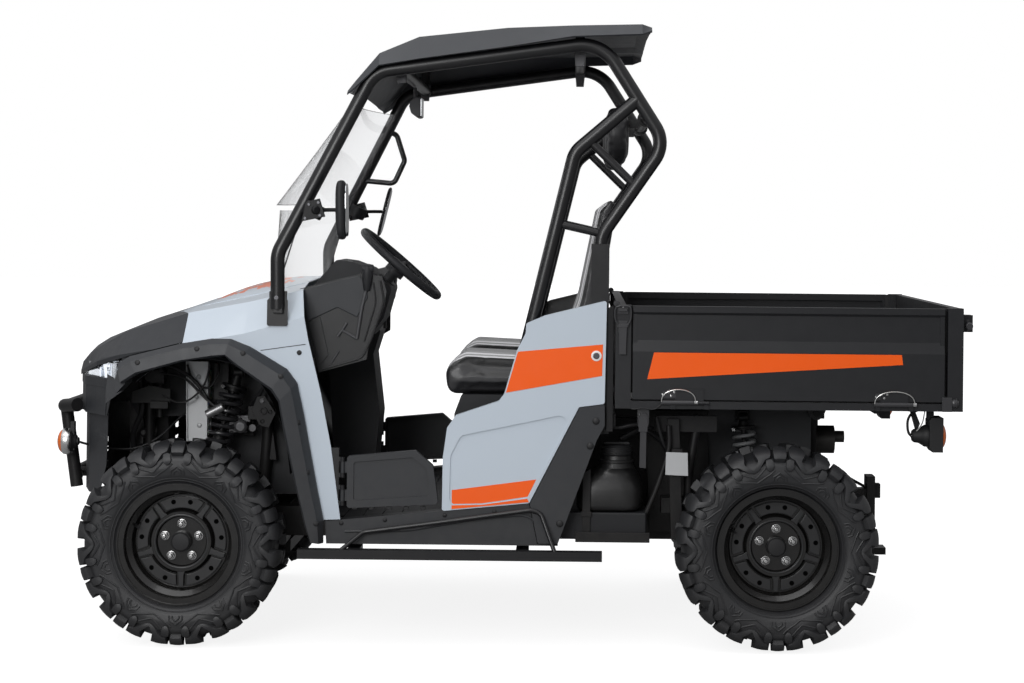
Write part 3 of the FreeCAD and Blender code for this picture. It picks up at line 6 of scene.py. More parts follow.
# %% Load the engineering model
import json
import math
import bmesh
import bpy
import numpy as np
from mathutils import Matrix, Vector
from mathutils.bvhtree import BVHTree


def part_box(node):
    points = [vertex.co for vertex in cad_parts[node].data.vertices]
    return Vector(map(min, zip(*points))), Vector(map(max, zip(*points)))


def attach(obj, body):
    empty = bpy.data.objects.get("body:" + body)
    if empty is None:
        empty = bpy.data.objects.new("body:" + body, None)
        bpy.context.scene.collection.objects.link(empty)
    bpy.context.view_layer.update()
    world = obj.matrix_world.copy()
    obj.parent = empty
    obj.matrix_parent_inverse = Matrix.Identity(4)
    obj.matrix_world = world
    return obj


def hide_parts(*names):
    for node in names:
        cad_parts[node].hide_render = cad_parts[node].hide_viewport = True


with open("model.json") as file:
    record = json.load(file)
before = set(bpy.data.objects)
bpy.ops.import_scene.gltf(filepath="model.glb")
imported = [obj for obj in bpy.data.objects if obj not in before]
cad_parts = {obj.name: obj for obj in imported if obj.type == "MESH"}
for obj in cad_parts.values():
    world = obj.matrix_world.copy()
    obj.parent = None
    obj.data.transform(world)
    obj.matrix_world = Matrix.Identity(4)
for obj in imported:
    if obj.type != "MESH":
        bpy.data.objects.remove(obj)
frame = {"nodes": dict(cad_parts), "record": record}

NODES = frame["nodes"]
AHEAD, BACK, LEFT, RIGHT = (1, 0, 0), (-1, 0, 0), (0, 1, 0), (0, -1, 0)
UP, DOWN = (0, 0, 1), (0, 0, -1)
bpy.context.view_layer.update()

# %% [markdown]
# Every shader here is a small network of nodes. One helper adds a node and joins it up.

# %% Shader nodes
def node(tree, kind, *feeds, operation=None, **named):
    """Adds a shader node. feeds go to its first inputs in their order, named ones to the input of
    that name, with an underscore for a space. A socket is linked, a number or a colour is set."""
    made = tree.nodes.new("ShaderNode" + kind)
    if operation:
        made.operation = operation
    by_name = [(made.inputs[key.replace("_", " ")], value) for key, value in named.items()]
    for target, value in [*zip(made.inputs, feeds), *by_name]:
        if isinstance(value, bpy.types.NodeSocket):
            tree.links.new(value, target)
        else:
            target.default_value = value
    return made


def object_place(tree):
    """Object coordinates: metres from the vehicle's origin, since every piece has its place in its
    mesh."""
    return node(tree, "TexCoord").outputs["Object"]


def seen_directly(tree):
    """1 for the eye and for what is seen through glass, 0 for light that bounces."""
    path = node(tree, "LightPath").outputs
    return node(tree, "Math", path["Is Camera Ray"], path["Is Transmission Ray"],
                operation="MAXIMUM").outputs[0]


print("shader helpers are ready")

# %% [markdown]
# The floor is one large pale sheet, and the world is white for the eye and through glass but gives
# only soft light. A lamp overhead and a wide one beside the camera shape the panels.

# %% Floor, world and lamps
scene = bpy.context.scene
scene.view_settings.view_transform = "Standard"
FLOOR_HALF = 40            # the sheet runs so far each way that its edge is never seen
FLOOR_GREY = 0.32          # how much light the floor gives back to the vehicle
FLOOR_NEAR = 0.86          # its own brightness under the vehicle; it reaches 1 at 4 m
WORLD_LOW, WORLD_MIDDLE, WORLD_HIGH = 0.05, 0.30, 0.80


def pale_floor():
    """A sheet with a little own light that grows with the distance from the vehicle."""
    far = FLOOR_HALF
    mesh = bpy.data.meshes.new("pale_floor")
    mesh.from_pydata([(-far, -far, 0), (far, -far, 0), (far, far, 0), (-far, far, 0)], [],
                     [(0, 1, 2, 3)])
    floor = bpy.data.objects.new("pale_floor", mesh)
    scene.collection.objects.link(floor)
    paint = bpy.data.materials.new("floor_paint")
    paint.use_nodes = True
    tree = paint.node_tree
    shader = tree.nodes["Principled BSDF"]
    for socket, value in (("Base Color", (FLOOR_GREY, FLOOR_GREY, FLOOR_GREY, 1)),
                          ("Roughness", 0.95), ("Specular IOR Level", 0.0),
                          ("Emission Color", (1, 1, 1, 1))):
        shader.inputs[socket].default_value = value
    distance = node(tree, "VectorMath", object_place(tree), operation="LENGTH").outputs["Value"]
    glow = node(tree, "MapRange", Value=distance, From_Min=1.0, From_Max=4.0, To_Min=FLOOR_NEAR,
                To_Max=1.0)
    seen = node(tree, "Math", seen_directly(tree), glow.outputs["Result"], operation="MULTIPLY")
    tree.links.new(seen.outputs[0], shader.inputs["Emission Strength"])
    mesh.materials.append(paint)


def white_world():
    """White to the eye and through glass. As light it is dim near the ground, brighter overhead."""
    world = bpy.data.worlds.new("studio")
    world.use_nodes = True
    tree = world.node_tree
    tree.nodes.clear()
    up = node(tree, "SeparateXYZ", node(tree, "TexCoord").outputs["Generated"]).outputs["Z"]
    height = node(tree, "MapRange", Value=up, From_Min=-1, From_Max=1).outputs["Result"]
    sky = node(tree, "ValToRGB", height)
    first, last = sky.color_ramp.elements
    first.position, first.color = 0.42, (WORLD_LOW, WORLD_LOW, WORLD_LOW, 1)
    last.position, last.color = 0.95, (WORLD_HIGH, WORLD_HIGH, WORLD_HIGH * 1.02, 1)
    step = sky.color_ramp.elements.new(0.56)
    step.color = (WORLD_MIDDLE, WORLD_MIDDLE, WORLD_MIDDLE * 1.01, 1)
    mix = node(tree, "MixRGB", seen_directly(tree), sky.outputs["Color"], (1, 1, 1, 1))
    white = node(tree, "Background", mix.outputs["Color"])
    node(tree, "OutputWorld", white.outputs[0])
    scene.world = world


def soft_lamp(name, place, aim, size, watts):
    """A square lamp of that size at place, turned towards aim."""
    lamp = bpy.data.lights.new(name, "AREA")
    lamp.size, lamp.energy = size, watts
    holder = bpy.data.objects.new(name, lamp)
    scene.collection.objects.link(holder)
    holder.location = place
    way = np.array(aim, float) - np.array(place, float)
    holder.rotation_euler = Vector(way).to_track_quat("-Z", "Y").to_euler()


pale_floor()
white_world()
soft_lamp("overhead", (1.2, 2.2, 5.5), (0, 0, 0.6), 4.5, 80)
soft_lamp("beside_camera", (2.2, 7.0, 3.0), (0, 0, 0.8), 3.0, 215)
print("floor, world and two lamps are in place")

# %% [markdown]
# A long lens far away keeps the side view nearly flat. The camera's own axes are written as a
# matrix, so its small roll is exact.

# %% Camera
ROLL = math.radians(0.60)
CAMERA_PLACE = (-0.248, 7.8, 1.38)
FOCAL_MM, SENSOR_MM = 77.7, 36.0
SHIFT = (-0.0674, -0.1187)       # the picture's middle against the line of sight, in widths
lens = bpy.data.cameras.new("camera")
lens.lens, lens.sensor_width = FOCAL_MM, SENSOR_MM
lens.shift_x, lens.shift_y = SHIFT
lens.clip_end = 200
camera = bpy.data.objects.new("camera", lens)
scene.collection.objects.link(camera)
right, up = (-math.cos(ROLL), 0, math.sin(ROLL)), (math.sin(ROLL), 0, math.cos(ROLL))
back = (0, 1, 0)
camera.matrix_world = Matrix([*zip(right, up, back, CAMERA_PLACE), (0, 0, 0, 1)])
scene.camera = camera
print("camera stands", round(camera.location.y, 2), "m to the left")

# %% [markdown]
# Paint, moulded plastic, rubber and steel differ in a few numbers: colour, roughness, grain and
# dirt. One recipe builds them all from noise in Object coordinates, so that the grain keeps its
# real size.

# %% The recipe for a finish
FINISHES = {}
DUST_COLOUR, DUST_TOP = (0.30, 0.27, 0.23, 1), 0.9      # no dust above this height


def finish(name, colour, rough, grain=0.0, grain_size=0.0012, blotch=0.06, dust=0.0, metal=0.0,
           coat=0.0, rough_spread=0.08, **sockets):
    """Base colour with slow blotches, roughness with faster ones, dust towards the ground and a
    fine bump.

    colour(p) = base * (1 +- blotch * noise(3 p)); dust fades from the ground up and is broken
        by noise.
    """
    made = bpy.data.materials.new(name)
    made.use_nodes = True
    tree = made.node_tree
    shader = tree.nodes["Principled BSDF"]
    place = object_place(tree)
    slow = node(tree, "TexNoise", Vector=place, Scale=3.0, Detail=3.0).outputs["Fac"]
    fast = node(tree, "TexNoise", Vector=place, Scale=28.0, Detail=4.0).outputs["Fac"]
    last = node(tree, "MixRGB", slow, [c * (1 - blotch) for c in colour] + [1],
                [min(1, c * (1 + blotch)) for c in colour] + [1]).outputs["Color"]
    if dust:
        height = node(tree, "SeparateXYZ", place).outputs["Z"]
        low = node(tree, "MapRange", Value=height, From_Min=DUST_TOP,
                   From_Max=0.05).outputs["Result"]
        broken = node(tree, "Math", low, fast, operation="MULTIPLY").outputs[0]
        amount = node(tree, "Math", broken, dust, operation="MULTIPLY").outputs[0]
        last = node(tree, "MixRGB", amount, last, DUST_COLOUR).outputs["Color"]
    tree.links.new(last, shader.inputs["Base Color"])
    gloss = node(tree, "MapRange", Value=fast, To_Min=max(0.02, rough - rough_spread),
                 To_Max=min(1.0, rough + rough_spread))
    tree.links.new(gloss.outputs["Result"], shader.inputs["Roughness"])
    if grain:
        fine = node(tree, "TexNoise", Vector=place, Scale=1.0 / grain_size,
                    Detail=2.0).outputs["Fac"]
        bump = node(tree, "Bump", Strength=grain, Distance=grain_size * 0.25, Height=fine)
        tree.links.new(bump.outputs["Normal"], shader.inputs["Normal"])
    for key, value in {"Metallic": metal, "Coat_Weight": coat, **sockets}.items():
        shader.inputs[key.replace("_", " ")].default_value = value
    FINISHES[name] = made
    return made


def painted_over(made, mask, colour):
    """Turns a finish to another colour, a socket or four numbers, where the mask is 1."""
    tree = made.node_tree
    base = tree.nodes["Principled BSDF"].inputs["Base Color"]
    mix = node(tree, "MixRGB", mask, base.links[0].from_socket, colour)
    tree.links.new(mix.outputs["Color"], base)
    return made


def ramp(tree, value, start, end):
    """0 up to start and 1 from end on, or the other way about where end is lower."""
    return node(tree, "MapRange", Value=value, From_Min=start, From_Max=end).outputs["Result"]


def face_way(tree):
    """The outward normal of the face, as X, Y and Z outputs."""
    return node(tree, "SeparateXYZ", node(tree, "NewGeometry").outputs["Normal"]).outputs


# %% Every finish on the vehicle
light_panel = finish("light_panel", (0.52, 0.585, 0.655), 0.30, 0.25, 0.0016, 0.03, coat=0.35,
                     rough_spread=0.05)
dark_panel = finish("dark_panel", (0.021, 0.023, 0.027), 0.48, 0.5, 0.0009, 0.10, 0.10,
                    Specular_IOR_Level=0.45)
roof_plastic = finish("roof_plastic", (0.036, 0.039, 0.045), 0.42, 0.45, 0.0012, 0.08)
cabin_plastic = finish("cabin_plastic", (0.013, 0.0135, 0.0155), 0.55, 0.7, 0.0011, 0.12,
                       Specular_IOR_Level=0.35)
orange_film = finish("orange_film", (0.95, 0.112, 0.0006), 0.32, 0.1, 0.002, 0.03, coat=0.15)
cage_paint = finish("cage_paint", (0.006, 0.006, 0.007), 0.36, 0.08, 0.0015, 0.10, coat=0.1)
frame_paint = finish("frame_paint", (0.006, 0.006, 0.007), 0.45, 0.4, 0.0018, 0.2, 0.08,
                     Specular_IOR_Level=0.3)
bed_paint = finish("bed_paint", (0.0125, 0.0130, 0.0150), 0.42, 0.5, 0.0014, 0.07, 0.04,
                   Specular_IOR_Level=0.4)
rim_paint = finish("rim_paint", (0.0032, 0.0032, 0.0035), 0.24, 0.3, 0.0012, 0.15, 0.04, coat=0.3)
tyre_rubber = finish("tyre_rubber", (0.0165, 0.0172, 0.0195), 0.50, 0.8, 0.0016, 0.25, 0.04)
cast_metal = finish("cast_metal", (0.020, 0.020, 0.022), 0.50, 0.8, 0.003, 0.15, 0.2, metal=0.3)
bright_steel = finish("bright_steel", (0.62, 0.62, 0.62), 0.25, 0.2, 0.001, 0.06, metal=1.0)
heated_steel = finish("heated_steel", (0.05, 0.048, 0.046), 0.45, 0.5, 0.002, 0.25, 0.1, metal=0.6)
radiator_alloy = finish("radiator_alloy", (0.05, 0.05, 0.052), 0.45, 0.6, 0.002, 0.15, 0.2,
                        metal=0.6)
bottle_plastic = finish("bottle_plastic", (0.70, 0.71, 0.66), 0.40, 0.3, 0.002, 0.04, 0.1,
                        Subsurface_Weight=0.3)
black_rubber = finish("black_rubber", (0.008, 0.008, 0.009), 0.60, 0.5, 0.0012, 0.2)
lamp_shell = finish("lamp_shell", (0.75, 0.77, 0.80), 0.16, 0.0, blotch=0.03, metal=0.85)
clear_lens = finish("clear_lens", (0.93, 0.95, 0.97), 0.06, 0.0, blotch=0.01, rough_spread=0.02,
                    Transmission_Weight=0.96, IOR=1.10)
amber_lens = finish("amber_lens", (0.88, 0.17, 0.012), 0.14, 0.0, blotch=0.04, rough_spread=0.04,
                    coat=0.5, Transmission_Weight=0.22)
screen_glass = finish("screen_glass", (0.945, 0.95, 0.96), 0.03, 0.0, blotch=0.004,
                      rough_spread=0.01, Transmission_Weight=0.97, IOR=1.12)
print(len(FINISHES), "finishes are mixed")

# %% [markdown]
# Parts whose plain shape is already right, such as tubes, rails and castings, stay, and only get a
# finish.

# %% Finishes for the parts that stay
BY_SLOT = {"frame_steel": frame_paint, "cage_steel": cage_paint, "roof_plastic": roof_plastic,
           "clear_screen": screen_glass, "body_light": light_panel, "body_dark": dark_panel,
           "cabin_plastic": cabin_plastic, "lamp_clear": clear_lens, "lamp_amber": amber_lens,
           "seat_vinyl": cabin_plastic, "bed_steel": bed_paint, "cast_metal": cast_metal,
           "radiator_alloy": radiator_alloy, "bottle_plastic": bottle_plastic,
           "silencer_steel": heated_steel, "spring_steel": frame_paint, "rod_steel": bright_steel,
           "rim_steel": rim_paint, "tyre": tyre_rubber,}
SLOT_OF = {part["node"]: part["material_slot"] for part in frame["record"]["subparts"]}
for name, part in NODES.items():
    part.data.materials.clear()
    part.data.materials.append(BY_SLOT[SLOT_OF[name]])
print(len(NODES), "parts have a finish")

# %% [markdown]
# New pieces are surfaces worked out as whole arrays. A part of a piece is a pair: its points and
# its faces. Five makers cover the vehicle: a skin over a grid, a tube along a path, a turned body,
# a slab and a block.

# %% Makers of plain surfaces
def circle(count):
    """Cosines and sines of a full turn in even steps."""
    angle = np.arange(count) * 2 * math.pi / count
    return np.cos(angle), np.sin(angle)


def dome(radius, foot, top, steps=6):
    """A quarter round from (radius, foot) to (0, top), for a turned body."""
    t = np.linspace(0, math.pi / 2, steps)
    arc = np.stack([radius * np.cos(t), foot + (top - foot) * np.sin(t)], 1)
    return [*arc[:-1], (0, top)]


def skin(points, loop_u=False, loop_v=False, caps=False):
    """Faces between neighbours of an (m, n, 3) grid. loop_u joins the last row to the first,
    loop_v the last column to the first, and caps close the first and last rows with one face
    each."""
    points = np.asarray(points, float)
    m, n = points.shape[:2]
    ids = np.arange(m * n).reshape(m, n)
    rows = np.vstack([ids, ids[:1]]) if loop_u else ids
    rows = np.hstack([rows, rows[:, :1]]) if loop_v else rows
    quads = np.stack([rows[:-1, :-1], rows[:-1, 1:], rows[1:, 1:], rows[1:, :-1]],
                     -1).reshape(-1, 4)
    faces = quads.tolist()
    if caps:
        faces += [ids[0][::-1].tolist(), ids[-1].tolist()]
    return points.reshape(-1, 3), faces


def rounded_path(corners, radius, steps=6):
    """Runs joined by arcs: near each corner the path is the quadratic curve between the two points
    that lie `radius` before and after it."""
    corners = np.asarray(corners, float)
    if radius <= 0 or len(corners) < 3:
        return corners
    before, here, after = corners[:-2], corners[1:-1], corners[2:]
    into, out = here - before, after - here
    reach_in = np.minimum(radius, 0.45 * np.linalg.norm(into, axis=1))[:, None]
    reach_out = np.minimum(radius, 0.45 * np.linalg.norm(out, axis=1))[:, None]
    start = here - into / np.linalg.norm(into, axis=1)[:, None] * reach_in
    end = here + out / np.linalg.norm(out, axis=1)[:, None] * reach_out
    t = np.linspace(0, 1, steps)[None, :, None]
    arcs = (1 - t) ** 2 * start[:, None] + 2 * t * (1 - t) * here[:, None] + t ** 2 * end[:, None]
    return np.vstack([corners[:1], arcs.reshape(-1, 3), corners[-1:]])


def tube(corners, radius, bend=0.0, sides=12):
    """A ring of points carried along the path, kept upright by a turning frame."""
    path = rounded_path(corners, bend)
    way = np.gradient(path, axis=0)
    way /= np.linalg.norm(way, axis=1)[:, None]
    start = np.array([0.0, 0.0, 1.0]) if abs(way[0, 2]) < 0.9 else np.array([1.0, 0.0, 0.0])
    across = np.empty_like(way)
    across[0] = np.cross(start, way[0])
    for i in range(1, len(way)):
        across[i] = across[i - 1] - way[i] * np.dot(across[i - 1], way[i])
    across /= np.linalg.norm(across, axis=1)[:, None]
    rise = np.cross(way, across)
    cosines, sines = (values[None, :, None] for values in circle(sides))
    radius = np.broadcast_to(np.asarray(radius, float), (len(path),))[:, None, None]
    ring = path[:, None] + radius * (cosines * across[:, None] + sines * rise[:, None])
    return skin(ring, loop_v=True, caps=True)


def turned(profile, centre, axis, sides=48, loop=False):
    """A profile of (radius, distance along the axis) turned about the axis through centre."""
    axis = np.asarray(axis, float) / np.linalg.norm(axis)
    side = np.cross(axis, [0.0, 0.0, 1.0] if abs(axis[2]) < 0.9 else [1.0, 0.0, 0.0])
    side /= np.linalg.norm(side)
    other = np.cross(axis, side)
    profile = np.asarray(profile, float)
    cosines, sines = circle(sides)
    spokes = cosines[:, None] * side + sines[:, None] * other
    points = np.asarray(centre, float) + profile[:, None,
                                                 1:] * axis + profile[:, None, :1] * spokes[None]
    return skin(points, loop_u=loop, loop_v=True, caps=not loop)


def disc(radius, height, centre, axis, sides=24):
    """A plain round plate."""
    return turned([(0, 0), (radius, 0), (radius, height), (0, height)], centre, axis, sides)


def collar(inner, outer, height, centre, axis):
    """A flat ring."""
    return turned([(inner, 0), (outer, 0), (outer, height), (inner, height)], centre, axis, 24,
                  loop=True)


def slab(outline, low, high, axis=1):
    """A flat outline given its thickness along one axis (0, 1 or 2), between low and high."""
    outline = np.asarray(outline, float)
    near, far = (np.insert(outline, axis, value, axis=1) for value in (low, high))
    return skin(np.stack([near, far]), loop_v=True, caps=True)


def block(low, high):
    """A box from its lowest and highest corners."""
    (x0, y0, z0), (x1, y1, z1) = low, high
    return slab([(x0, z0), (x1, z0), (x1, z1), (x0, z1)], y0, y1)


def other_side(parts):
    """The same parts across the vehicle's middle plane."""
    return [(points * [1, -1, 1], faces) for points, faces in parts]


def both_sides(parts):
    return parts + other_side(parts)


WASHER = 0.0015           # thickness


def hex_bolts(places, way, across, height, washer=0.0):
    """Hexagon heads on optional washers, at every place, pointing along one direction."""
    base, r = (WASHER if washer else 0.0), across / 2 / math.cos(math.pi / 6)
    made = []
    for place in places:
        if washer:
            made.append(disc(washer, WASHER, place, way, 20))
        made.append(turned([(0, base), (r, base), (r, base + height * 0.8),
                            (r * 0.86, base + height), (0, base + height)], place, way, 6))
    return made


def spring(low, high, radius, wire, turns):
    """A helix about the line from low to high, its wire a tube."""
    low, high = np.asarray(low, float), np.asarray(high, float)
    axis = (high - low) / np.linalg.norm(high - low)
    side = np.cross(axis, [0, 1, 0])
    side /= np.linalg.norm(side)
    other = np.cross(axis, side)
    t = np.linspace(0, 1, int(turns * 20))[:, None]
    a = t * turns * 2 * math.pi
    return tube(low + (high - low) * t + radius * (np.cos(a) * side + np.sin(a) * other),
                wire, sides=8)


# %% From parts to a finished piece
def make(name, parts, paint, body, slot, stands_for=(), bevel=0.0, angle=35, steps=2):
    """Joins the parts into one mesh, turns its faces outwards, and gives it finish, bevel and body.
    slot is not used."""
    starts = np.cumsum([0] + [len(points) for points, _ in parts]).tolist()
    points = np.vstack([points for points, _ in parts])
    faces = [[i + start for i in face] for (_, part), start in zip(parts, starts) for face in part]
    mesh = bpy.data.meshes.new(name)
    mesh.from_pydata(points.tolist(), [], faces)
    mesh.materials.append(paint)
    shape = bmesh.new()
    shape.from_mesh(mesh)
    bmesh.ops.remove_doubles(shape, verts=shape.verts, dist=1e-6)
    bmesh.ops.dissolve_degenerate(shape, edges=shape.edges, dist=1e-6)
    bmesh.ops.recalc_face_normals(shape, faces=shape.faces)
    shape.to_mesh(mesh)
    shape.free()
    mesh.shade_smooth()
    mesh.set_sharp_from_angle(angle=math.radians(angle))
    piece = bpy.data.objects.new(name, mesh)
    scene.collection.objects.link(piece)
    if bevel:
        soft = piece.modifiers.new("soft_edges", "BEVEL")
        soft.width, soft.segments, soft.limit_method = bevel, steps, "ANGLE"
        soft.angle_limit, soft.harden_normals = math.radians(angle), True
    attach(piece, body)
    if stands_for:
        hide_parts(*stands_for)
    return piece


def both(name, parts, paint, slot, body="chassis", **more):
    """A piece that has the same parts on either side of the middle plane."""
    return make(name, both_sides(parts), paint, body, slot, **more)


def left_and_right(name, parts, paint, body, slot):
    """Two pieces, one on each side's own body."""
    make(f"{name}_left", parts, paint, f"{body}_left", slot)
    make(f"{name}_right", other_side(parts), paint, f"{body}_right", slot)


print("the makers are ready")


# %% [markdown]
# Small pieces sit exactly on the engineering surfaces. A ray towards a part finds the place and the
# normal.

# %% Places on the engineering surfaces
TREES = {}


def per_corner(mesh, what="co"):
    """The place or the normal of every vertex, as an (n, 3) array."""
    flat = np.empty(len(mesh.vertices) * 3)
    mesh.vertices.foreach_get(what, flat)
    return flat.reshape(-1, 3)


def reshaped(name, bend):
    """An engineering part's corners, moved by bend, and its faces."""
    mesh = NODES[name].data
    return bend(per_corner(mesh)), [list(face.vertices) for face in mesh.polygons]


def touch(name, start, way):
    """Where a ray from start along way meets a part: the point and the outward normal there."""
    if name not in TREES:
        TREES[name] = BVHTree.FromObject(NODES[name], bpy.context.evaluated_depsgraph_get())
    point, normal = TREES[name].ray_cast(Vector(start), Vector(way))[:2]
    if point is None:
        return np.full(3, np.nan), -np.array(way, float)
    if normal.dot(Vector(way)) > 0:
        normal = -normal
    return np.array(point), np.array(normal)


print("rays are ready")


# %% [markdown]
# A tyre is a turned casing with lugs. Each lug is a small grid laid on the casing: t runs from the
# middle of the tread over the shoulder, the angle runs round the wheel, and the border of the grid
# dips into the casing.

# %% Tyres
AXLE_HEIGHT = 0.330
# an axle's x and half a tyre's width
WHEELS = {"front": (1.030, 0.115), "rear": (-0.890, 0.135)}
SIDES = ((1, "left"), (-1, "right"))
LUG_COUNT, LUG_STEP = 10, 36       # lugs of a kind round the tyre, and the degrees between two


def casing_profile(half):
    """t, distance from the middle plane, radius: over the tread, the shoulder and down the side
    wall."""
    return np.array([(0.0, 0.0, 0.3065), (0.5, 0.48 * (half - 0.02), 0.3055),
                     (0.85, 0.84 * (half - 0.02), 0.300), (1.0, half - 0.022, 0.293),
                     (1.12, half - 0.012, 0.284), (1.25, half - 0.005, 0.275),
                     (1.6, half - 0.001, 0.246), (1.9, half - 0.006, 0.222),
                     (2.1, half - 0.017, 0.207), (2.25, 0.0885, 0.199), (2.4, 0.0866, 0.194),
                     (2.6, 0.0866, 0.179)])


def on_casing(half, t, lift):
    """Distance from the middle plane and radius at t, lifted along the casing's own normal."""
    table = casing_profile(half)
    side = np.sign(t) + (t == 0)
    y, r = (np.interp(np.abs(t), table[:, 0], table[:, k]) for k in (1, 2))
    step = 0.04
    y2, r2 = (np.interp(np.abs(t) + step, table[:, 0], table[:, k]) for k in (1, 2))
    length = np.hypot(y2 - y, r2 - r)
    return side * (y - lift * (r2 - r) / length), r + lift * (y2 - y) / length


def lugs(half, rows, left, right, height, offset):
    """Lugs between two edge lines. rows are t values; left, right are the edges' angles in
    degrees."""
    t = np.concatenate([[rows[0] - 0.03 * np.sign(rows[-1] - rows[0])], rows,
                        [rows[-1] + 0.03 * np.sign(rows[-1] - rows[0])]])
    left, right = (np.concatenate([[e[0]], e, [e[-1]]])
                   for e in (np.asarray(left, float), np.asarray(right, float)))
    height = np.concatenate([[height[0]], height, [height[-1]]])
    share = np.array([-0.06, 0.015, 0.35, 0.65, 0.985, 1.06])
    turn = left[:, None] + (right - left)[:, None] * share[None]
    lift = height[:, None] * np.array([-0.2, 0.95, 1.0, 1.0, 0.95, -0.2])[None]
    lift[0], lift[-1] = -0.003, -0.003
    y, r = on_casing(half, np.repeat(t[:, None], share.size, 1), lift)
    ids = np.arange(turn.size).reshape(turn.shape)
    border = np.concatenate([ids[0], ids[1:, -1], ids[-1, -2::-1], ids[-2:0:-1, 0]])[::-1].tolist()
    made = []
    for n in range(LUG_COUNT):
        a = np.radians(turn + offset) + 2 * math.pi * n / LUG_COUNT
        flat, faces = skin(np.stack([r * np.cos(a), y, r * np.sin(a)], -1))
        made.append((flat, faces + [border]))
    return made


def chevrons(half, side, shift):
    """Raised outlines on the side wall: two nested Vs under each V of lugs, two small ones
    between."""
    rows = [([1.42, 1.56, 1.70, 1.82, 1.70, 1.56, 1.42], [-14.6, -11.6, -5.6, 0, 5.6, 11.6, 14.6]),
            ([1.30, 1.46, 1.62, 1.46, 1.30], [-8.4, -5.0, 0, 5.0, 8.4]),
            ([1.86, 1.68, 1.60, 1.52, 1.60, 1.68, 1.86], [12.6, 13.2, 16.0, 18, 20.0, 22.8, 23.4]),
            ([1.86, 1.76, 1.70, 1.66, 1.70, 1.76, 1.86], [15.2, 15.4, 16.8, 18, 19.2, 20.6, 20.8])]
    made = []
    for n in range(LUG_COUNT):
        for t, turn in rows:
            y, r = on_casing(half, side * np.array(t), np.full(len(t), 0.0012))
            a = np.radians(np.array(turn) + shift + LUG_STEP * n)
            made.append(tube(np.stack([r * np.cos(a), y, r * np.sin(a)], 1), 0.0030, 0.003, 6))
    return made


def tyre_parts(half):
    """Casing, then ten Vs of lugs on each side, each with two pads below its arms and one lug
    between."""
    table = casing_profile(half)
    t = np.linspace(0, 2.6, 44)
    y, r = (np.interp(t, table[:, 0], table[:, k]) for k in (1, 2))
    outside = np.stack([np.concatenate([r[::-1], r[1:]]), np.concatenate([-y[::-1], y[1:]])], 1)
    inside = [(0.179, 0.075), (0.200, 0.078), (0.246, half - 0.013), (0.288, half - 0.026),
              (0.297, 0.0)]
    inside += [(a, -b) for a, b in inside[-2::-1]]
    parts = [turned(np.vstack([outside, inside]), (0, 0, 0), LEFT, 120, loop=True)]
    for radius in (0.205, 0.214):
        y0 = np.interp(-radius, -table[6:, 2], table[6:, 1])
        for side in (-1, 1):
            ring = [(radius - 0.0025, side * (y0 - 0.002)), (radius - 0.001, side * (y0 + 0.0016)),
                    (radius + 0.001, side * (y0 + 0.0016)), (radius + 0.0025, side * (y0 - 0.002))]
            parts.append(turned(ring, (0, 0, 0), LEFT, 96, loop=True))
    arm = np.array([0.08, 0.30, 0.55, 0.85, 1.0, 1.07, 1.10, 1.22, 1.36, 1.42])
    near = np.array([5.6, 4.6, 3.4, 2.8, 3.6, 4.2, 4.4, 2.4, -0.4, -0.6])
    far = np.array([9.6, 10.6, 12.0, 12.8, 12.4, 11.6, 8.8, 6.4, 3.4, 0.8])
    rise = np.array([0.0235, 0.0235, 0.024, 0.024, 0.0225, 0.0195, 0.0170, 0.0125, 0.0085, 0.0060])
    pad = np.array([1.08, 1.14, 1.28, 1.40, 1.46])
    pad_near, pad_far = np.array([9.2, 9.0, 8.6, 9.2, 10.4]), np.array([12.2, 13.6, 14.0,
                                                                        13.2, 11.8])
    pad_rise = [0.0125, 0.0125, 0.0105, 0.0085, 0.0060]
    centre = np.array([0.50, 0.66, 0.85, 1.0, 1.07, 1.10])
    centre_near, centre_far = [14.9, 14.5, 14.2, 14.1, 14.2, 14.6], [21.1, 21.5, 21.8, 21.9,
                                                                     21.8, 21.4]
    centre_rise = [0.0235, 0.024, 0.024, 0.0225, 0.0195, 0.016]
    for side in (-1, 1):
        shift = 0 if side > 0 else LUG_STEP / 2
        for rows, left, right, height in ((arm, near, far, rise), (arm, -far, -near, rise),
                                          (pad, pad_near, pad_far, pad_rise),
                                          (pad, -pad_far, -pad_near, pad_rise),
                                          (centre, centre_near, centre_far, centre_rise)):
            parts += lugs(half, side * rows, left, right, height, shift)
        parts += chevrons(half, side, shift)
    return parts


def fit_tyres():
    """A front and a rear tyre, each placed on both sides."""
    for end, (_, half) in WHEELS.items():
        parts = tyre_parts(half)
        for side, word in SIDES:
            low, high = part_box(f"{end}_{word}_tyre")
            middle = [(low[k] + high[k]) / 2 for k in range(3)]
            placed = [(points * [1, side, 1] + middle, faces) for points, faces in parts]
            tyre = make(f"tyre_{end}_{word}", placed, tyre_rubber, f"{end}_wheel_{word}", "tyre",
                        [f"{end}_{word}_tyre"], bevel=0.0012, angle=38, steps=1)
            print(tyre.name, len(tyre.data.polygons), "faces")


fit_tyres()

# %% [markdown]
# The pressed wheels keep their engineering shape. Between their five windows they get pads and
# spokes in a lighter black than the rim, which paints the light they catch, and black discs at the
# holes as painted shade. In the middle they get bright nuts, a plain cap and the air valve.

# %% Wheel nuts, caps and valves
# The pads and spokes are the same glossy black as the rim. Their lighter black is painted light
# that the raised pads catch.
lit_pad_paint = finish("lit_pad_paint", (0.0135, 0.0138, 0.0150), 0.38, 0.4, 0.001, 0.15, 0.02,
                   Coat_Weight=0.3)
# Black without reflection: painted shade, in the wheel pads' holes and along the bed sides.
painted_shade_black = finish("painted_shade_black", (0.002, 0.002, 0.002), 0.9, Specular_IOR_Level=0.0)
BOLT_CIRCLE = 0.05715      # radius of the circle of nuts
HOLE_TURN = 12.2           # degrees between a pad's middle and each of its two holes
SPOKE_TURN = 0.6283        # radians between a pad's middle and the spoke beside it


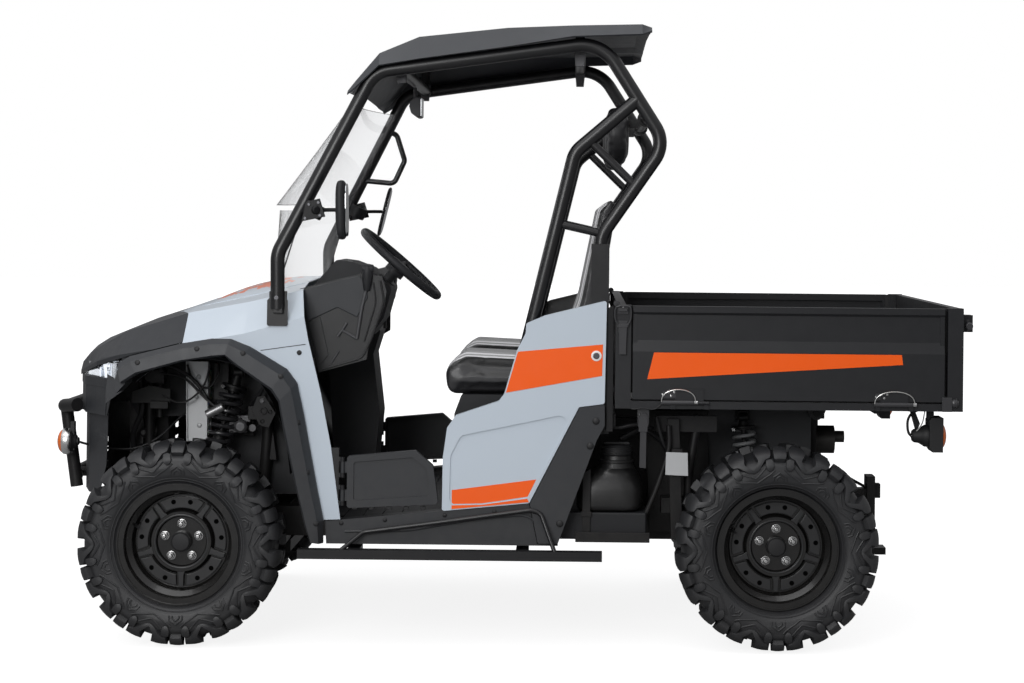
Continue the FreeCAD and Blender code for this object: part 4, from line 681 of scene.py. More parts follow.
def wheel_pad(centre, top, middle, side):
    """One pad, black discs at its two holes as painted shade, and the spoke beside it. middle is
    the pad's angle round the wheel."""
    out, back = (middle + np.radians(np.linspace(*ends, 13)) for ends in ((-30, 30), (27, -27)))
    ring = np.concatenate([0.1440 * np.stack([np.cos(out), np.sin(out)], 1),
                           0.1080 * np.stack([np.cos(back), np.sin(back)], 1)])
    pad = slab(ring + centre[[0, 2]], *sorted((top - side * 0.002, top + side * 0.004)))
    # Black discs where the pad has holes: painted shade seen through them.
    holes = [disc(0.0078, 0.0006, (centre[0] + 0.129 * math.cos(a), top + side * 0.0042,
                                   centre[2] + 0.129 * math.sin(a)), (0, side, 0))
             for a in middle + np.radians([-HOLE_TURN, HOLE_TURN])]
    a = middle + SPOKE_TURN
    turn = np.array([[math.sin(a), math.cos(a)], [-math.cos(a), math.sin(a)]])
    spoke = np.array([(-0.017, 0.086), (0.017, 0.086), (0.0085, 0.108), (0.0075, 0.146),
                      (-0.0075, 0.146), (-0.0085, 0.108)]) @ turn
    spoke = slab(spoke + centre[[0, 2]], *sorted((top - side * 0.002, top + side * 0.0095)))
    return pad, holes, spoke


def dress_wheel(end, side, word):
    """Everything that is added to one pressed wheel."""
    low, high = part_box(f"{end}_{word}_rim")
    centre, way = np.array([(low[0] + high[0]) / 2, 0, (low[2] + high[2]) / 2]), (0, side, 0)
    face = (high[1] - 0.095) if side > 0 else (low[1] + 0.095)
    angles = np.radians(90 + 72 * np.arange(5))
    spots = centre + BOLT_CIRCLE * np.stack([np.cos(angles), 0 * angles, np.sin(angles)], 1)
    spots[:, 1] = face + side * 0.014
    nuts = hex_bolts(spots, way, 0.023, 0.014, 0.0148)
    nuts += [turned([(0, 0.010), (0.0085, 0.010), (0.0085, 0.020), (0.006, 0.024), (0, 0.025)],
                    spot, way, 16) for spot in spots]
    pads, holes, spokes = [], [], []
    for middle in angles:
        start = (centre[0] + 0.128 * math.cos(middle), side * 1.2,
                 centre[2] + 0.128 * math.sin(middle))
        top = touch(f"{end}_{word}_rim", start, (0, -side, 0))[0][1]
        pad, two, spoke = wheel_pad(centre, top, middle, side)
        pads.append(pad)
        holes += two
        spokes.append(spoke)
    spokes.append(turned([(0.0815, 0), (0.0895, 0), (0.0895, 0.010), (0.0875, 0.012),
                          (0.0835, 0.012), (0.0815, 0.010)], (centre[0], top, centre[2]), way, 64,
                         loop=True))
    cap = turned([(0, 0), (0.031, 0), (0.031, 0.006), (0.027, 0.011), (0.012, 0.013), (0, 0.013)],
                 centre + [0, face + side * 0.030, 0], way, 40)
    foot = centre + [0.158 * math.cos(0.35), face + side * 0.02, 0.158 * math.sin(0.35)]
    valve = tube([foot, foot + [-0.004, side * 0.018, -0.002],
                  foot + [-0.016, side * 0.034, -0.006]], [0.0055, 0.005, 0.004])
    # The pads' and spokes' lighter black is painted light, and the black hole discs are painted
    # shade.
    for name, parts, paint, bevel in (("wheel_spokes", spokes, lit_pad_paint, 0.003),
                                      ("wheel_pads", pads, lit_pad_paint, 0.0022),
                                      ("wheel_hole_shades", holes, painted_shade_black, 0),
                                      ("wheel_nuts", nuts, bright_steel, 0.0006),
                                      ("hub_cap", [cap, valve], black_rubber, 0.0008)):
        make(f"{name}_{end}_{word}", parts, paint, f"{end}_wheel_{word}", "rim_steel", bevel=bevel)


for end in WHEELS:
    for side, word in SIDES:
        dress_wheel(end, side, word)
print("pads, nuts, caps and valves on four wheels")

# %% [markdown]
# A seat cushion is foam under stretched vinyl. We cut a blank a little smaller than the cushion,
# turn it into an even skin, and let cloth under pressure swell it, so that the sides pull in
# between the corners. Sewn channels come after the swelling, because a fine groove would not
# survive the even skin.

# %% Seat vinyl with sewn bands
SEAT_MIDDLE = 0.3525       # from the vehicle's middle plane to a seat's middle
SEAT_HALF = 0.2475         # half a seat's width
# distance from the seat's middle where each band starts, and its grey
BANDS = [(0.0, 0.30), (0.062, 0.82), (0.078, 0.34), (0.118, 0.86), (0.150, 0.36), (0.168, 0.84),
         (0.188, 0.022)]
CHANNELS = [0.062, 0.078, 0.118, 0.150, 0.168, 0.184]     # sewn lines, at the same distances


def seat_vinyl(name, face):
    """Bands by distance from the seat's middle, on the faces that look along `face` (0 is x, 2 is
    z)."""
    vinyl = finish(name, (0.022, 0.022, 0.024), 0.40, 0.6, 0.0016, 0.08, coat=0.1)
    tree = vinyl.node_tree
    last = node(tree, "SeparateXYZ", object_place(tree)).outputs["Y"]
    for operation, value in (("ABSOLUTE", 0), ("SUBTRACT", SEAT_MIDDLE), ("ABSOLUTE", 0),
                             ("MULTIPLY", 4.0)):
        last = node(tree, "Math", last, value, operation=operation).outputs[0]
    bands = node(tree, "ValToRGB", last)
    bands.color_ramp.interpolation = "CONSTANT"
    while len(bands.color_ramp.elements) < len(BANDS):
        bands.color_ramp.elements.new(0.5)
    for stop, (distance, grey) in zip(bands.color_ramp.elements, BANDS):
        stop.position = distance * 4
        stop.color = (grey, grey, grey * 1.02, 1)
    return painted_over(vinyl, ramp(tree, face_way(tree)[face], 0.42, 0.50), bands.outputs["Color"])


cushion_vinyl = seat_vinyl("cushion_vinyl", 2)
back_vinyl = seat_vinyl("back_vinyl", 0)
headrest_vinyl = finish("headrest_vinyl", (0.020, 0.020, 0.022), 0.45, 0.6, 0.0016, 0.08)
print("three vinyls, one with", len(BANDS), "bands")


# %% Swelling a padded blank
VOXEL, CLOTH_STEPS = 0.006, 20


def swollen(name, part, cap, pressure=4.0, bevel=0.02):
    """Points and faces of the part after an even remesh and some steps of cloth under pressure. No
    point moves further than cap."""
    mesh = bpy.data.meshes.new(name)
    mesh.from_pydata(part[0].tolist(), [], part[1])
    blank = bpy.data.objects.new(name, mesh)
    scene.collection.objects.link(blank)
    shape = bmesh.new()
    shape.from_mesh(mesh)
    bmesh.ops.recalc_face_normals(shape, faces=shape.faces)
    shape.to_mesh(mesh)
    shape.free()
    soft = blank.modifiers.new("soft", "BEVEL")
    soft.width, soft.segments, soft.limit_method = bevel, 4, "ANGLE"
    even = blank.modifiers.new("even", "REMESH")
    even.mode, even.voxel_size = "VOXEL", VOXEL
    depsgraph = bpy.context.evaluated_depsgraph_get()
    even_mesh = bpy.data.meshes.new_from_object(blank.evaluated_get(depsgraph))
    blank.modifiers.clear()
    blank.data = even_mesh
    before = after = per_corner(even_mesh)
    cloth = blank.modifiers.new("cloth", "CLOTH")
    cloth.settings.use_pressure = True
    cloth.settings.uniform_pressure_force = pressure
    cloth.settings.effector_weights.gravity = 0
    cloth.settings.quality = 4
    cloth.point_cache.frame_start, cloth.point_cache.frame_end = 1, CLOTH_STEPS
    for step in range(1, CLOTH_STEPS + 1):
        scene.frame_set(step)
    depsgraph = bpy.context.evaluated_depsgraph_get()
    after = per_corner(blank.evaluated_get(depsgraph).to_mesh())
    scene.frame_set(1)
    move = after - before
    length = np.linalg.norm(move, axis=1)[:, None]
    after = before + move * np.minimum(1, cap / np.maximum(length, 1e-9))
    faces = [list(face.vertices) for face in even_mesh.polygons]
    bpy.data.objects.remove(blank)
    print(name, "has", len(after), "points and swells by", round(float(length.max()) * 1000, 1),
          "mm")
    return after, faces


def sewn(points, faces, lines, depth=0.004, width=0.0045, face=2, crown=0.0):
    """Grooves at the given distances from the seat's middle, on the side that looks along `face`.
    The same side falls back by crown * (distance / half width)^3 towards the edges."""
    mesh = bpy.data.meshes.new("measure")
    mesh.from_pydata(points.tolist(), [], faces)
    normals = per_corner(mesh, "normal")
    bpy.data.meshes.remove(mesh)
    across = np.abs(points[:, 1] - SEAT_MIDDLE)[:, None]
    sink = np.exp(-((across - np.asarray(lines)[None]) / width) ** 2).sum(1)
    sink = sink * depth + crown * np.clip(across[:, 0] / SEAT_HALF, 0, 1) ** 3
    sink *= np.clip((normals[:, face] - 0.35) / 0.2, 0, 1)
    return points - normals * sink[:, None]


def padded_pair(name, points, faces, vinyl, node_name):
    """The pad and its twin on the other seat. One subdivision smooths the even skin."""
    for side, word in SIDES:
        pad = make(f"{name}_{word}", [(points * [1, side, 1], faces)], vinyl, "chassis",
                   "seat_vinyl", [node_name], angle=180)
        pad.modifiers.new("smooth", "SMOOTH").iterations = 3
        fine = pad.modifiers.new("fine", "SUBSURF")
        fine.levels = fine.render_levels = 1


# %% Cushions, backrests and headrests
INSET = 0.011              # how much smaller a blank is than its seat


def seat_cushions():
    """A cushion that rises to the front and falls off at its sides."""
    low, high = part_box("seat_cushions")
    x0, x1, z0, z1 = low[0], high[0], low[2], high[2]
    outline = [(x0 + INSET, z0 + 0.002), (x0 + INSET, z1 - 0.022), (x1 - 0.040, z1 - 0.006),
               (x1 - 0.006, z1 - 0.030), (x1 - 0.004, z0 + 0.070), (x1 - 0.004, z0 + 0.020),
               (x1 - 0.018, z0 + 0.002)]
    blank = slab(outline, SEAT_MIDDLE - SEAT_HALF + INSET, SEAT_MIDDLE + SEAT_HALF - INSET)
    points, faces = swollen("cushion_blank", blank, 0.009, pressure=2.0, bevel=0.022)
    edge = np.abs(points[:, 1] - SEAT_MIDDLE) / SEAT_HALF
    points[:, 2] -= 0.034 * np.clip(edge, 0, 1) ** 4 * np.clip((points[:, 2] - z0 - 0.035) / 0.07,
                                                               0, 1)
    points = sewn(points, faces, CHANNELS)
    points[:, 2] = np.maximum(points[:, 2], z0)
    padded_pair("seat_cushion", points, faces, cushion_vinyl, "seat_cushions")


def seat_backs():
    """A leaning back, sewn like the cushion, whose front falls back at the sides."""
    low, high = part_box("seat_backs")
    size = [high[k] - low[k] for k in range(3)]
    shares = [(0.98, 0.02), (0.66, 0.33), (0.31, 0.90), (0.17, 0.965), (0.045, 0.965),
              (0.045, 0.90), (0.33, 0.33), (0.62, 0.02)]
    outline = [(low[0] + a * size[0], low[2] + b * size[2]) for a, b in shares]
    blank = slab(outline, SEAT_MIDDLE - SEAT_HALF + INSET, SEAT_MIDDLE + SEAT_HALF - INSET)
    points, faces = swollen("back_blank", blank, 0.009, bevel=0.014)
    points = sewn(points, faces, CHANNELS, face=0, crown=0.020)
    padded_pair("seat_back", points, faces, back_vinyl, "seat_backs")


def headrests():
    """An oval pad with one sewn line round it."""
    low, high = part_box("headrests")
    middle_x, middle_z = (low[0] + high[0]) / 2, (low[2] + high[2]) / 2
    tall = high[2] - low[2]
    angle = np.linspace(0, 2 * math.pi, 24, endpoint=False)
    wide = 0.5 * min(0.27, 2 * (high[1] - SEAT_MIDDLE))
    outline = np.stack([SEAT_MIDDLE + (wide - 0.008) * np.cos(angle),
                        middle_z + (tall / 2 - 0.008) * np.sin(angle)], 1)
    blank = slab(outline, low[0] + 0.012, high[0] - 0.012, axis=0)
    points, faces = swollen("headrest_blank", blank, 0.008, bevel=0.018)
    radius = np.hypot((points[:, 1] - SEAT_MIDDLE) / wide, (points[:, 2] - middle_z) / (tall / 2))
    sewn_line = 0.003 * np.exp(-((radius - 0.72) / 0.035) ** 2)
    points[:, 0] -= np.sign(points[:, 0] - middle_x) * sewn_line
    padded_pair("headrest", points, faces, headrest_vinyl, "headrests")


seat_cushions()
seat_backs()
headrests()

# %% [markdown]
# Rivets, bolts and films belong exactly on the panels, so their places come from rays as well. The
# normal gives the direction of a head. Films are thin plates 0.3 mm off the panel.

# %% Rivets and films
# Where rays start, beside and before the body, and the thickness of a film
OUTSIDE, IN_FRONT, FILM = 1.2, 1.7, 0.0006


def left_face(name, x, z):
    return touch(name, (x, OUTSIDE, z), RIGHT)


def front_face(name, y, z):
    return touch(name, (IN_FRONT, y, z), BACK)[0]


def rivets(name, places, radius, height):
    """Domed heads on the left face of a part, at (x, z) places."""
    head = [(0, -0.001), (radius, -0.001), *dome(radius, 0.001, height)]
    return [turned(head, *left_face(name, x, z), 20) for x, z in places]


def film(outline, y):
    """A thin plate over an outline of (x, z) points, standing at y."""
    return slab(outline, y, y + FILM)


print("rays and rivets are ready")

# %% Orange films on the flanks and the bed sides
BODY_SIDE, PRESSED, BED_SIDE = 0.7053, 0.7013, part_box("bed_side_left")[1][1]
BED_FACE = left_face("bed_side_left", -0.9, 0.90)[0][1] + 0.0003


def ribbon_films():
    """Three films on each flank and one on each drop side."""
    upper = film([(-0.050, 0.955), (-0.323, 0.981), (-0.321, 0.880), (-0.0125, 0.823)], BODY_SIDE)
    low_edge = [(0.158, 0.4605), (0.060, 0.4635), (-0.0845, 0.4845)]
    inner = film([(0.158, 0.508), (-0.113, 0.545), (-0.086, 0.4895)]
                 + [(x, z + 0.003) for x, z in low_edge[::-1][1:]], PRESSED)
    border = film([(x, z - 0.001) for x, z in low_edge] + [(-0.090, 0.4725), (0.158, 0.4475)],
                  BODY_SIDE)
    both("flank_films", [upper, inner, border], orange_film, "body_light")
    long = film([(-0.487, 0.957), (-1.283, 0.957), (-1.287, 0.925), (-0.466, 0.871)], BED_FACE)
    left_and_right("bed_film", [long], orange_film, "bed_side", "bed_steel")
    print("orange films on both flanks and both bed sides")


def lock_ring():
    """A round lock in a pale ring, in the rear corner of each flank."""
    spot, ring, plug = (-0.302, BODY_SIDE + FILM, 0.944), [], []
    for side, _ in SIDES:
        at, way = np.array(spot) * [1, side, 1], (0, side, 0)
        ring.append(turned([(0.0105, 0), (0.0168, 0), (0.0168, 0.0012), (0.0145, 0.0022),
                            (0.0105, 0.0022)], at, way, 48, loop=True))
        plug.append(turned([(0, 0), (0.0100, 0), (0.0100, 0.0030), (0.0085, 0.0042),
                            (0.0035, 0.0042), (0.0035, 0.0022), (0, 0.0022)], at, way, 40))
    make("lock_rings", ring, clean_white, "chassis", "body_light", bevel=0.0003)
    make("lock_plugs", plug, lock_metal, "chassis", "body_light", bevel=0.0002)


clean_white = finish("clean_white", (0.80, 0.80, 0.79), 0.35, blotch=0.02)
lock_metal = finish("lock_metal", (0.12, 0.12, 0.13), 0.35, 0.3, 0.001, 0.06, metal=0.8)
ribbon_films()
lock_ring()

# %% A broken orange pattern on the bonnet
def bonnet_pattern(base):
    """Orange where stretched noise is high, on the upward faces between the seam and the screen.
    The borders fade, so that the edge of the pattern is ragged.

    shown = step(up(z) * width(|y|) * length(x) * noise(M p) - 0.445), each factor a ramp from 0
        to 1
    """
    made = base.copy()
    made.name = "bonnet_light"
    tree = made.node_tree
    place = object_place(tree)
    at = node(tree, "SeparateXYZ", place).outputs
    spread = node(tree, "Mapping", Vector=place, Scale=(17.0, 5.0, 9.0),
                  Rotation=(0, 0, 0.45)).outputs[0]
    noise = node(tree, "TexNoise", Vector=spread, Scale=2.0, Detail=5.0, Roughness=0.55,
                 Distortion=0.3)
    width = node(tree, "Math", at["Y"], operation="ABSOLUTE").outputs[0]
    shown = ramp(tree, face_way(tree)["Z"], 0.50, 0.66)
    for value, start, end in ((width, 0.485, 0.34), (at["X"], 0.640, 0.760),
                              (at["X"], 1.020, 0.975), (noise.outputs[0], 0.10, 0.90)):
        shown = node(tree, "Math", shown, ramp(tree, value, start, end),
                     operation="MULTIPLY").outputs[0]
    return painted_over(made, ramp(tree, shown, 0.425, 0.465), (0.83, 0.14, 0.02, 1))


def painted_shade_inside(base):
    """A copy of a finish that is dark where the face looks at the middle plane, normal_y * y <
    -0.1: painted shade on the inner faces."""
    made = base.copy()
    made.name = "light_panel_shaded_inside"
    tree = made.node_tree
    side = node(tree, "SeparateXYZ", object_place(tree)).outputs["Y"]
    outward = node(tree, "Math", side, face_way(tree)["Y"], operation="MULTIPLY").outputs[0]
    return painted_over(made, ramp(tree, outward, -0.05, -0.15), (0.012, 0.012, 0.013, 1))


NODES["cowl_panel"].data.materials[0] = bonnet_pattern(light_panel)
# The rear side panels' inner faces are painted in shade.
NODES["rear_side_panels"].data.materials[0] = painted_shade_inside(light_panel)
print("the bonnet has its pattern, and the rear side panels are dark inside")

# %% Rivets and bolts on the body
SWAGE_Y = 0.7000


def body_fasteners():
    """Heads on the panels, the seam of the cowl, the sill's ridge, clips, and the feet of the
    cage."""
    flare = [(1.161, 0.911), (0.972, 0.9565), (0.825, 0.944), (0.704, 0.872), (0.645, 0.725),
             (0.613, 0.565), (0.5865, 0.403)]
    parts = rivets("front_flares", flare, 0.0085, 0.004)
    parts += rivets("cowl_panel", [(0.652, 0.9445)], 0.0080, 0.003)
    parts += rivets("sill_panels", [(-0.303, 0.735), (-0.190, 0.405), (-0.285, 0.655)],
                    0.0115, 0.006)
    parts += rivets("sill_panels", [(0.512, 0.398), (0.372, 0.410), (0.180, 0.427), (0.020, 0.440)],
                    0.007, 0.004)
    both("body_rivets", parts, black_rubber, "body_dark")
    seam = np.stack([left_face("cowl_panel", x, z)[0]
                     for x, z in zip(np.linspace(0.800, 0.632, 8), np.linspace(0.947, 0.9715, 8))])
    both("cowl_seams", [tube(seam[~np.isnan(seam[:, 1])], 0.0012, sides=8)], black_rubber,
         "body_light")
    swage = tube([(x, SWAGE_Y, z) for x, z in ((0.50, 0.372), (0.30, 0.376), (0.06, 0.420),
                                               (-0.095, 0.432), (-0.155, 0.350))], 0.0045, 0.04, 10)
    both("sill_ridges", [swage], dark_panel, "body_dark")
    clips = [block((x, 0.690, 0.4425), (x + 0.016, 0.699, 0.4535))
             for x in (0.462, 0.408, 0.352, 0.296, 0.242)]
    both("door_clips", clips, black_rubber, "body_dark", bevel=0.001)
    foot = [slab([(0.695, 1.066), (0.748, 1.066), (0.750, 1.142), (0.692, 1.142)], 0.7052, 0.7105)]
    tongue = [slab([(0.703, 1.071), (0.735, 1.071), (0.741, 1.150), (0.709, 1.150)],
                   0.7105, 0.7290)]
    both("cage_feet", foot + tongue, cage_paint, "cage_steel", bevel=0.004)
    heads = hex_bolts([(0.7235, 0.7290, 1.121)], LEFT, 0.014, 0.006, 0.010)
    both("cage_foot_bolts", heads, lock_metal, "rod_steel", bevel=0.0005)
    hole = collar(0.0035, 0.0085, 0.002, (0.7185, 0.7290, 1.088), LEFT)
    both("cage_foot_rings", [hole], black_rubber, "cage_steel")
    screen = [slab([(-0.357, 0.700), (-0.336, 0.700), (-0.336, 1.092), (-0.357, 1.104)],
                   0.600, 0.690)]
    both("rear_screens", screen, frame_paint, "frame_steel", bevel=0.001)
    print(len(parts) * 2, "rivets and bolts on the body")


body_fasteners()

# %% [markdown]
# The bonnet is fuller in the middle: a closed skin lies on its top and swells by up to 24 mm.

# %% Bonnet top
def bonnet_top():
    """z = top(x, y) + 0.0008 + 0.024 * sin(pi * s)^0.8 * (1 - (y / 0.46)^4), s from the seam to
    the screen."""
    xs, ys = np.linspace(1.006, 0.664, 15), np.linspace(-0.455, 0.455, 21)
    top = np.array([[touch("cowl_panel", (x, y, 1.5), DOWN)[0][2] for y in ys] for x in xs])
    s = np.linspace(0, 1, 15)[:, None]
    rise = 0.0008 + 0.024 * np.sin(math.pi * s) ** 0.8 * (1 - (ys[None] / 0.46) ** 4)
    upper = np.stack([np.repeat(xs[:, None], 21, 1), np.repeat(ys[None], 15, 0), top + rise], -1)
    lower = upper[:, ::-1].copy()
    lower[..., 2] = top[:, ::-1] - 0.003
    make("bonnet_top", [skin(np.hstack([upper, lower]), loop_v=True, caps=True)],
         NODES["cowl_panel"].data.materials[0], "chassis", "body_light", angle=40)


bonnet_top()
print("the bonnet is fuller")

# %% [markdown]
# The bed gets its working parts: toggle latches at the front posts, hinge pins with wire loops on
# the drop sides, a lock under the floor, ribs in the floor and latches on the tailgate.

# %% Load bed fittings
wire_steel = finish("wire_steel", (0.70, 0.70, 0.68), 0.30, 0.2, 0.001, 0.05, metal=0.9)
latch_steel = finish("latch_steel", (0.034, 0.034, 0.037), 0.34, 0.4, 0.0012, 0.15, coat=0.2)
FLOOR_TOP = touch("bed_tub", (-0.9, 0, 1.5), DOWN)[0][2]


def front_latches():
    """A toggle clasp on each front post: keeper, wire loop and lever."""
    x, post_y = -0.386, left_face("bed_tub", -0.386, 1.00)[0][1]
    keeper = [block((x - 0.018, post_y, 1.080), (x + 0.018, post_y + 0.006, 1.106)),
              block((x - 0.014, post_y + 0.006, 1.088), (x + 0.014, post_y + 0.016, 1.098)),
              block((x - 0.015, post_y, 1.020), (x + 0.015, post_y + 0.005, 1.058)),
              slab([(x - 0.011, 0.950), (x + 0.011, 0.950), (x + 0.013, 1.046), (x - 0.013, 1.046)],
                   post_y + 0.009, post_y + 0.012),
              block((x - 0.014, post_y + 0.004, 1.036), (x + 0.014, post_y + 0.014, 1.048)),
              tube([(x - 0.017, post_y + 0.009, 1.040), (x + 0.017, post_y + 0.009, 1.040)], 0.004)]
    keeper += [tube([(x - 0.013, post_y + 0.010, 1.042), (x - 0.026, post_y + 0.012, 1.062),
                     (x - 0.026, post_y + 0.014, 1.098), (x - 0.016, post_y + 0.017, 1.106),
                     (x + 0.016, post_y + 0.017, 1.106), (x + 0.026, post_y + 0.014, 1.098),
                     (x + 0.026, post_y + 0.012, 1.062), (x + 0.013, post_y + 0.010, 1.042)],
                    0.0028, 0.012, 8)]
    keeper += [tube([(-0.366, 0.660, 1.112), (-0.366, 0.690, 1.112)], 0.010, sides=20),
               block((-0.374, 0.652, 1.096), (-0.3635, 0.698, 1.108))]
    both("bed_latches", keeper, latch_steel, "bed_steel", "bed", bevel=0.0012)
    dots = hex_bolts([(x, post_y + 0.005, 1.028)], LEFT, 0.008, 0.004)
    dots += hex_bolts([(x, post_y + 0.006, 1.102)], LEFT, 0.006, 0.003)
    both("bed_latch_bolts", dots, bright_steel, "rod_steel", "bed")


def side_hinges():
    """Riveted leaf, pin end and wire loop at both hinges of a drop side."""
    leaf, loop, ends = [], [], []
    for x0, x1 in ((-0.513, -0.620), (-1.197, -1.322)):
        xm = (x0 + x1) / 2
        leaf.append(slab([(x0 + 0.004, 0.812), (x0 - 0.052, 0.812), (x0 - 0.046, 0.838),
                          (x0 - 0.004, 0.832)], BED_FACE, BED_FACE + 0.0025))
        ends += [turned([(0, 0), (0.0042, 0), (0.0035, 0.0022), (0, 0.0030)],
                        (x0 - d, BED_FACE + 0.0025, z), LEFT, 12)
                 for d, z in ((0.004, 0.822), (0.022, 0.830), (0.040, 0.830), (0.030, 0.818))]
        t = np.linspace(0, math.pi, 22)
        arch = np.stack([xm + (x0 - xm) * np.cos(t) * 1.02, BED_SIDE + 0.002 + 0.008 * np.sin(t),
                         0.800 + 0.040 * np.sin(t) ** 0.8], 1)
        loop.append(tube(arch, 0.0016, sides=8))
        ends.append(tube([(x1 + 0.002, BED_SIDE - 0.004, 0.798),
                          (x1 - 0.008, BED_SIDE - 0.004, 0.798)], 0.0065, sides=16))
        leaf.append(tube([(x0 + 0.002, BED_SIDE - 0.006, 0.797),
                          (x1 + 0.004, BED_SIDE - 0.006, 0.797)], 0.0075, sides=16))
    left_and_right("side_hinge_leaves", leaf, latch_steel, "bed_side", "bed_steel")
    left_and_right("side_hinge_loops", loop, wire_steel, "bed_side", "rod_steel")
    left_and_right("side_hinge_pins", ends, bright_steel, "bed_side", "rod_steel")


def bed_floor():
    """Nine pressed ribs along the floor, and seals between the corner posts and the drop sides."""
    t = np.linspace(0, math.pi, 9)
    ribs = []
    for y in np.linspace(-0.52, 0.52, 9):
        section = np.stack([y + 0.024 * np.cos(t), FLOOR_TOP + 0.0005 + 0.006 * np.sin(t) ** 0.6],
                           1)
        section = np.vstack([section,
                             [[y - 0.024, FLOOR_TOP - 0.002], [y + 0.024, FLOOR_TOP - 0.002]]])
        ribs.append(slab(section, -1.405, -0.430, axis=0))
    low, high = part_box("bed_side_left")
    seals = [block((x - 0.010, 0.666, 0.825), (x + 0.010, 0.6725, 1.106))
             for x in (high[0] + 0.003, low[0] - 0.003)]
    both("bed_seals", seals, black_rubber, "bed_steel", "bed", bevel=0.001)
    make("bed_ribs", ribs, bed_paint, "bed", "bed_steel", angle=50)
    print("bed floor at", round(FLOOR_TOP, 4), "with", len(ribs), "ribs")


def bed_lock():
    """The catch that keeps the bed down: a bracket under the front rail, a lever and a cable."""
    y = 0.672
    catch = [block((-0.474, y - 0.012, 0.744), (-0.436, y + 0.012, 0.776)),
             block((-0.469, y - 0.004, 0.700), (-0.441, y + 0.014, 0.748)),
             slab([(-0.4655, 0.582), (-0.4440, 0.584), (-0.4460, 0.716), (-0.4660, 0.716)],
                  y + 0.004, y + 0.009),
             tube([(-0.472, y + 0.006, 0.722), (-0.438, y + 0.006, 0.722)], 0.006, sides=14)]
    catch.append(tube([(-0.446, y + 0.010, 0.700), (-0.437, y + 0.012, 0.735),
                       (-0.444, y + 0.012, 0.762), (-0.466, y + 0.012, 0.762),
                       (-0.473, y + 0.012, 0.735), (-0.464, y + 0.010, 0.700)], 0.0025, 0.014, 8))
    both("bed_locks", catch, latch_steel, "bed_steel", "bed", bevel=0.0012)
    cable = tube([(-0.400, 0.690, 0.786), (-0.420, 0.700, 0.772), (-0.450, 0.704, 0.780),
                  (-0.490, 0.705, 0.772), (-0.512, 0.706, 0.792)], 0.0022, 0.02, 8)
    both("bed_cables", [cable], black_rubber, "bed_steel", "bed")


def corner_bosses():
    """Under each rear post a block with a bolt head that faces back, and along each side a black
    strip that paints the shadow under the recessed band."""
    parts = [block((-1.445, 0.690, 0.776), (-1.413, 0.711, 0.822)),
             turned([(0, 0), (0.012, 0), (0.014, 0.003), (0.014, 0.012), (0.010, 0.015),
                     (0.010, 0.022), (0, 0.023)], (-1.445, 0.700, 0.803), BACK, 24),
             disc(0.017, 0.004, (-1.457, 0.700, 0.803), BACK)]
    both("corner_bosses", parts, latch_steel, "bed_steel", "bed", bevel=0.001)
    face = left_face("bed_side_left", -0.90, 1.020)[0][1]
    # A black strip 0.6 mm proud of the drop side: painted shadow under its recessed band.
    line = [slab([(-0.445, 0.9925), (-1.405, 0.9895), (-1.405, 0.9835), (-0.445, 0.9865)],
                 face - 0.002, face + 0.0006)]
    left_and_right("bed_shadow_line", line, painted_shade_black, "bed_side", "bed_steel")


def tail_fittings():
    """Latches on the tailgate's ends, and a grip in its middle."""
    z = 1.050
    latch = [block((-1.5085, 0.618, z - 0.020), (-1.4975, 0.652, z + 0.020)),
             tube([(-1.503, 0.640, z), (-1.503, 0.668, z)], 0.0065, sides=16),
             turned([(0, 0), (0.011, 0), (0.013, 0.004), (0.013, 0.010), (0.010, 0.014),
                     (0, 0.014)], (-1.503, 0.668, z), LEFT, 24)]
    both("tail_latches", latch, latch_steel, "bed_steel", "tailgate", bevel=0.0012)
    grip = tube([(-1.5060, -0.090, 1.020), (-1.5165, -0.085, 1.020), (-1.5165, 0.085, 1.020),
                 (-1.5060, 0.090, 1.020)], 0.005, 0.008, 12)
    make("tail_grip", [grip], latch_steel, "tailgate", "bed_steel")


corner_bosses()
front_latches()
side_hinges()
bed_floor()
bed_lock()
tail_fittings()
print("the bed's latches, hinges, ribs, locks and bosses are fitted")

# %% [markdown]
# The lamps are filled: silvered reflectors behind the clear lens with lit strips on them, and amber
# domes in chrome rings with dark shells and leads. The nose and a filler close the seams around the
# headlights.

# %% Lamps
lead_rubber = finish("lead_rubber", (0.007, 0.007, 0.008), 0.50, 0.3, 0.001, 0.15)
led_white = finish("led_white", (0.90, 0.93, 1.0), 0.20, blotch=0.01, Emission_Strength=0.25,
                   Emission_Color=(0.85, 0.92, 1.0, 1))


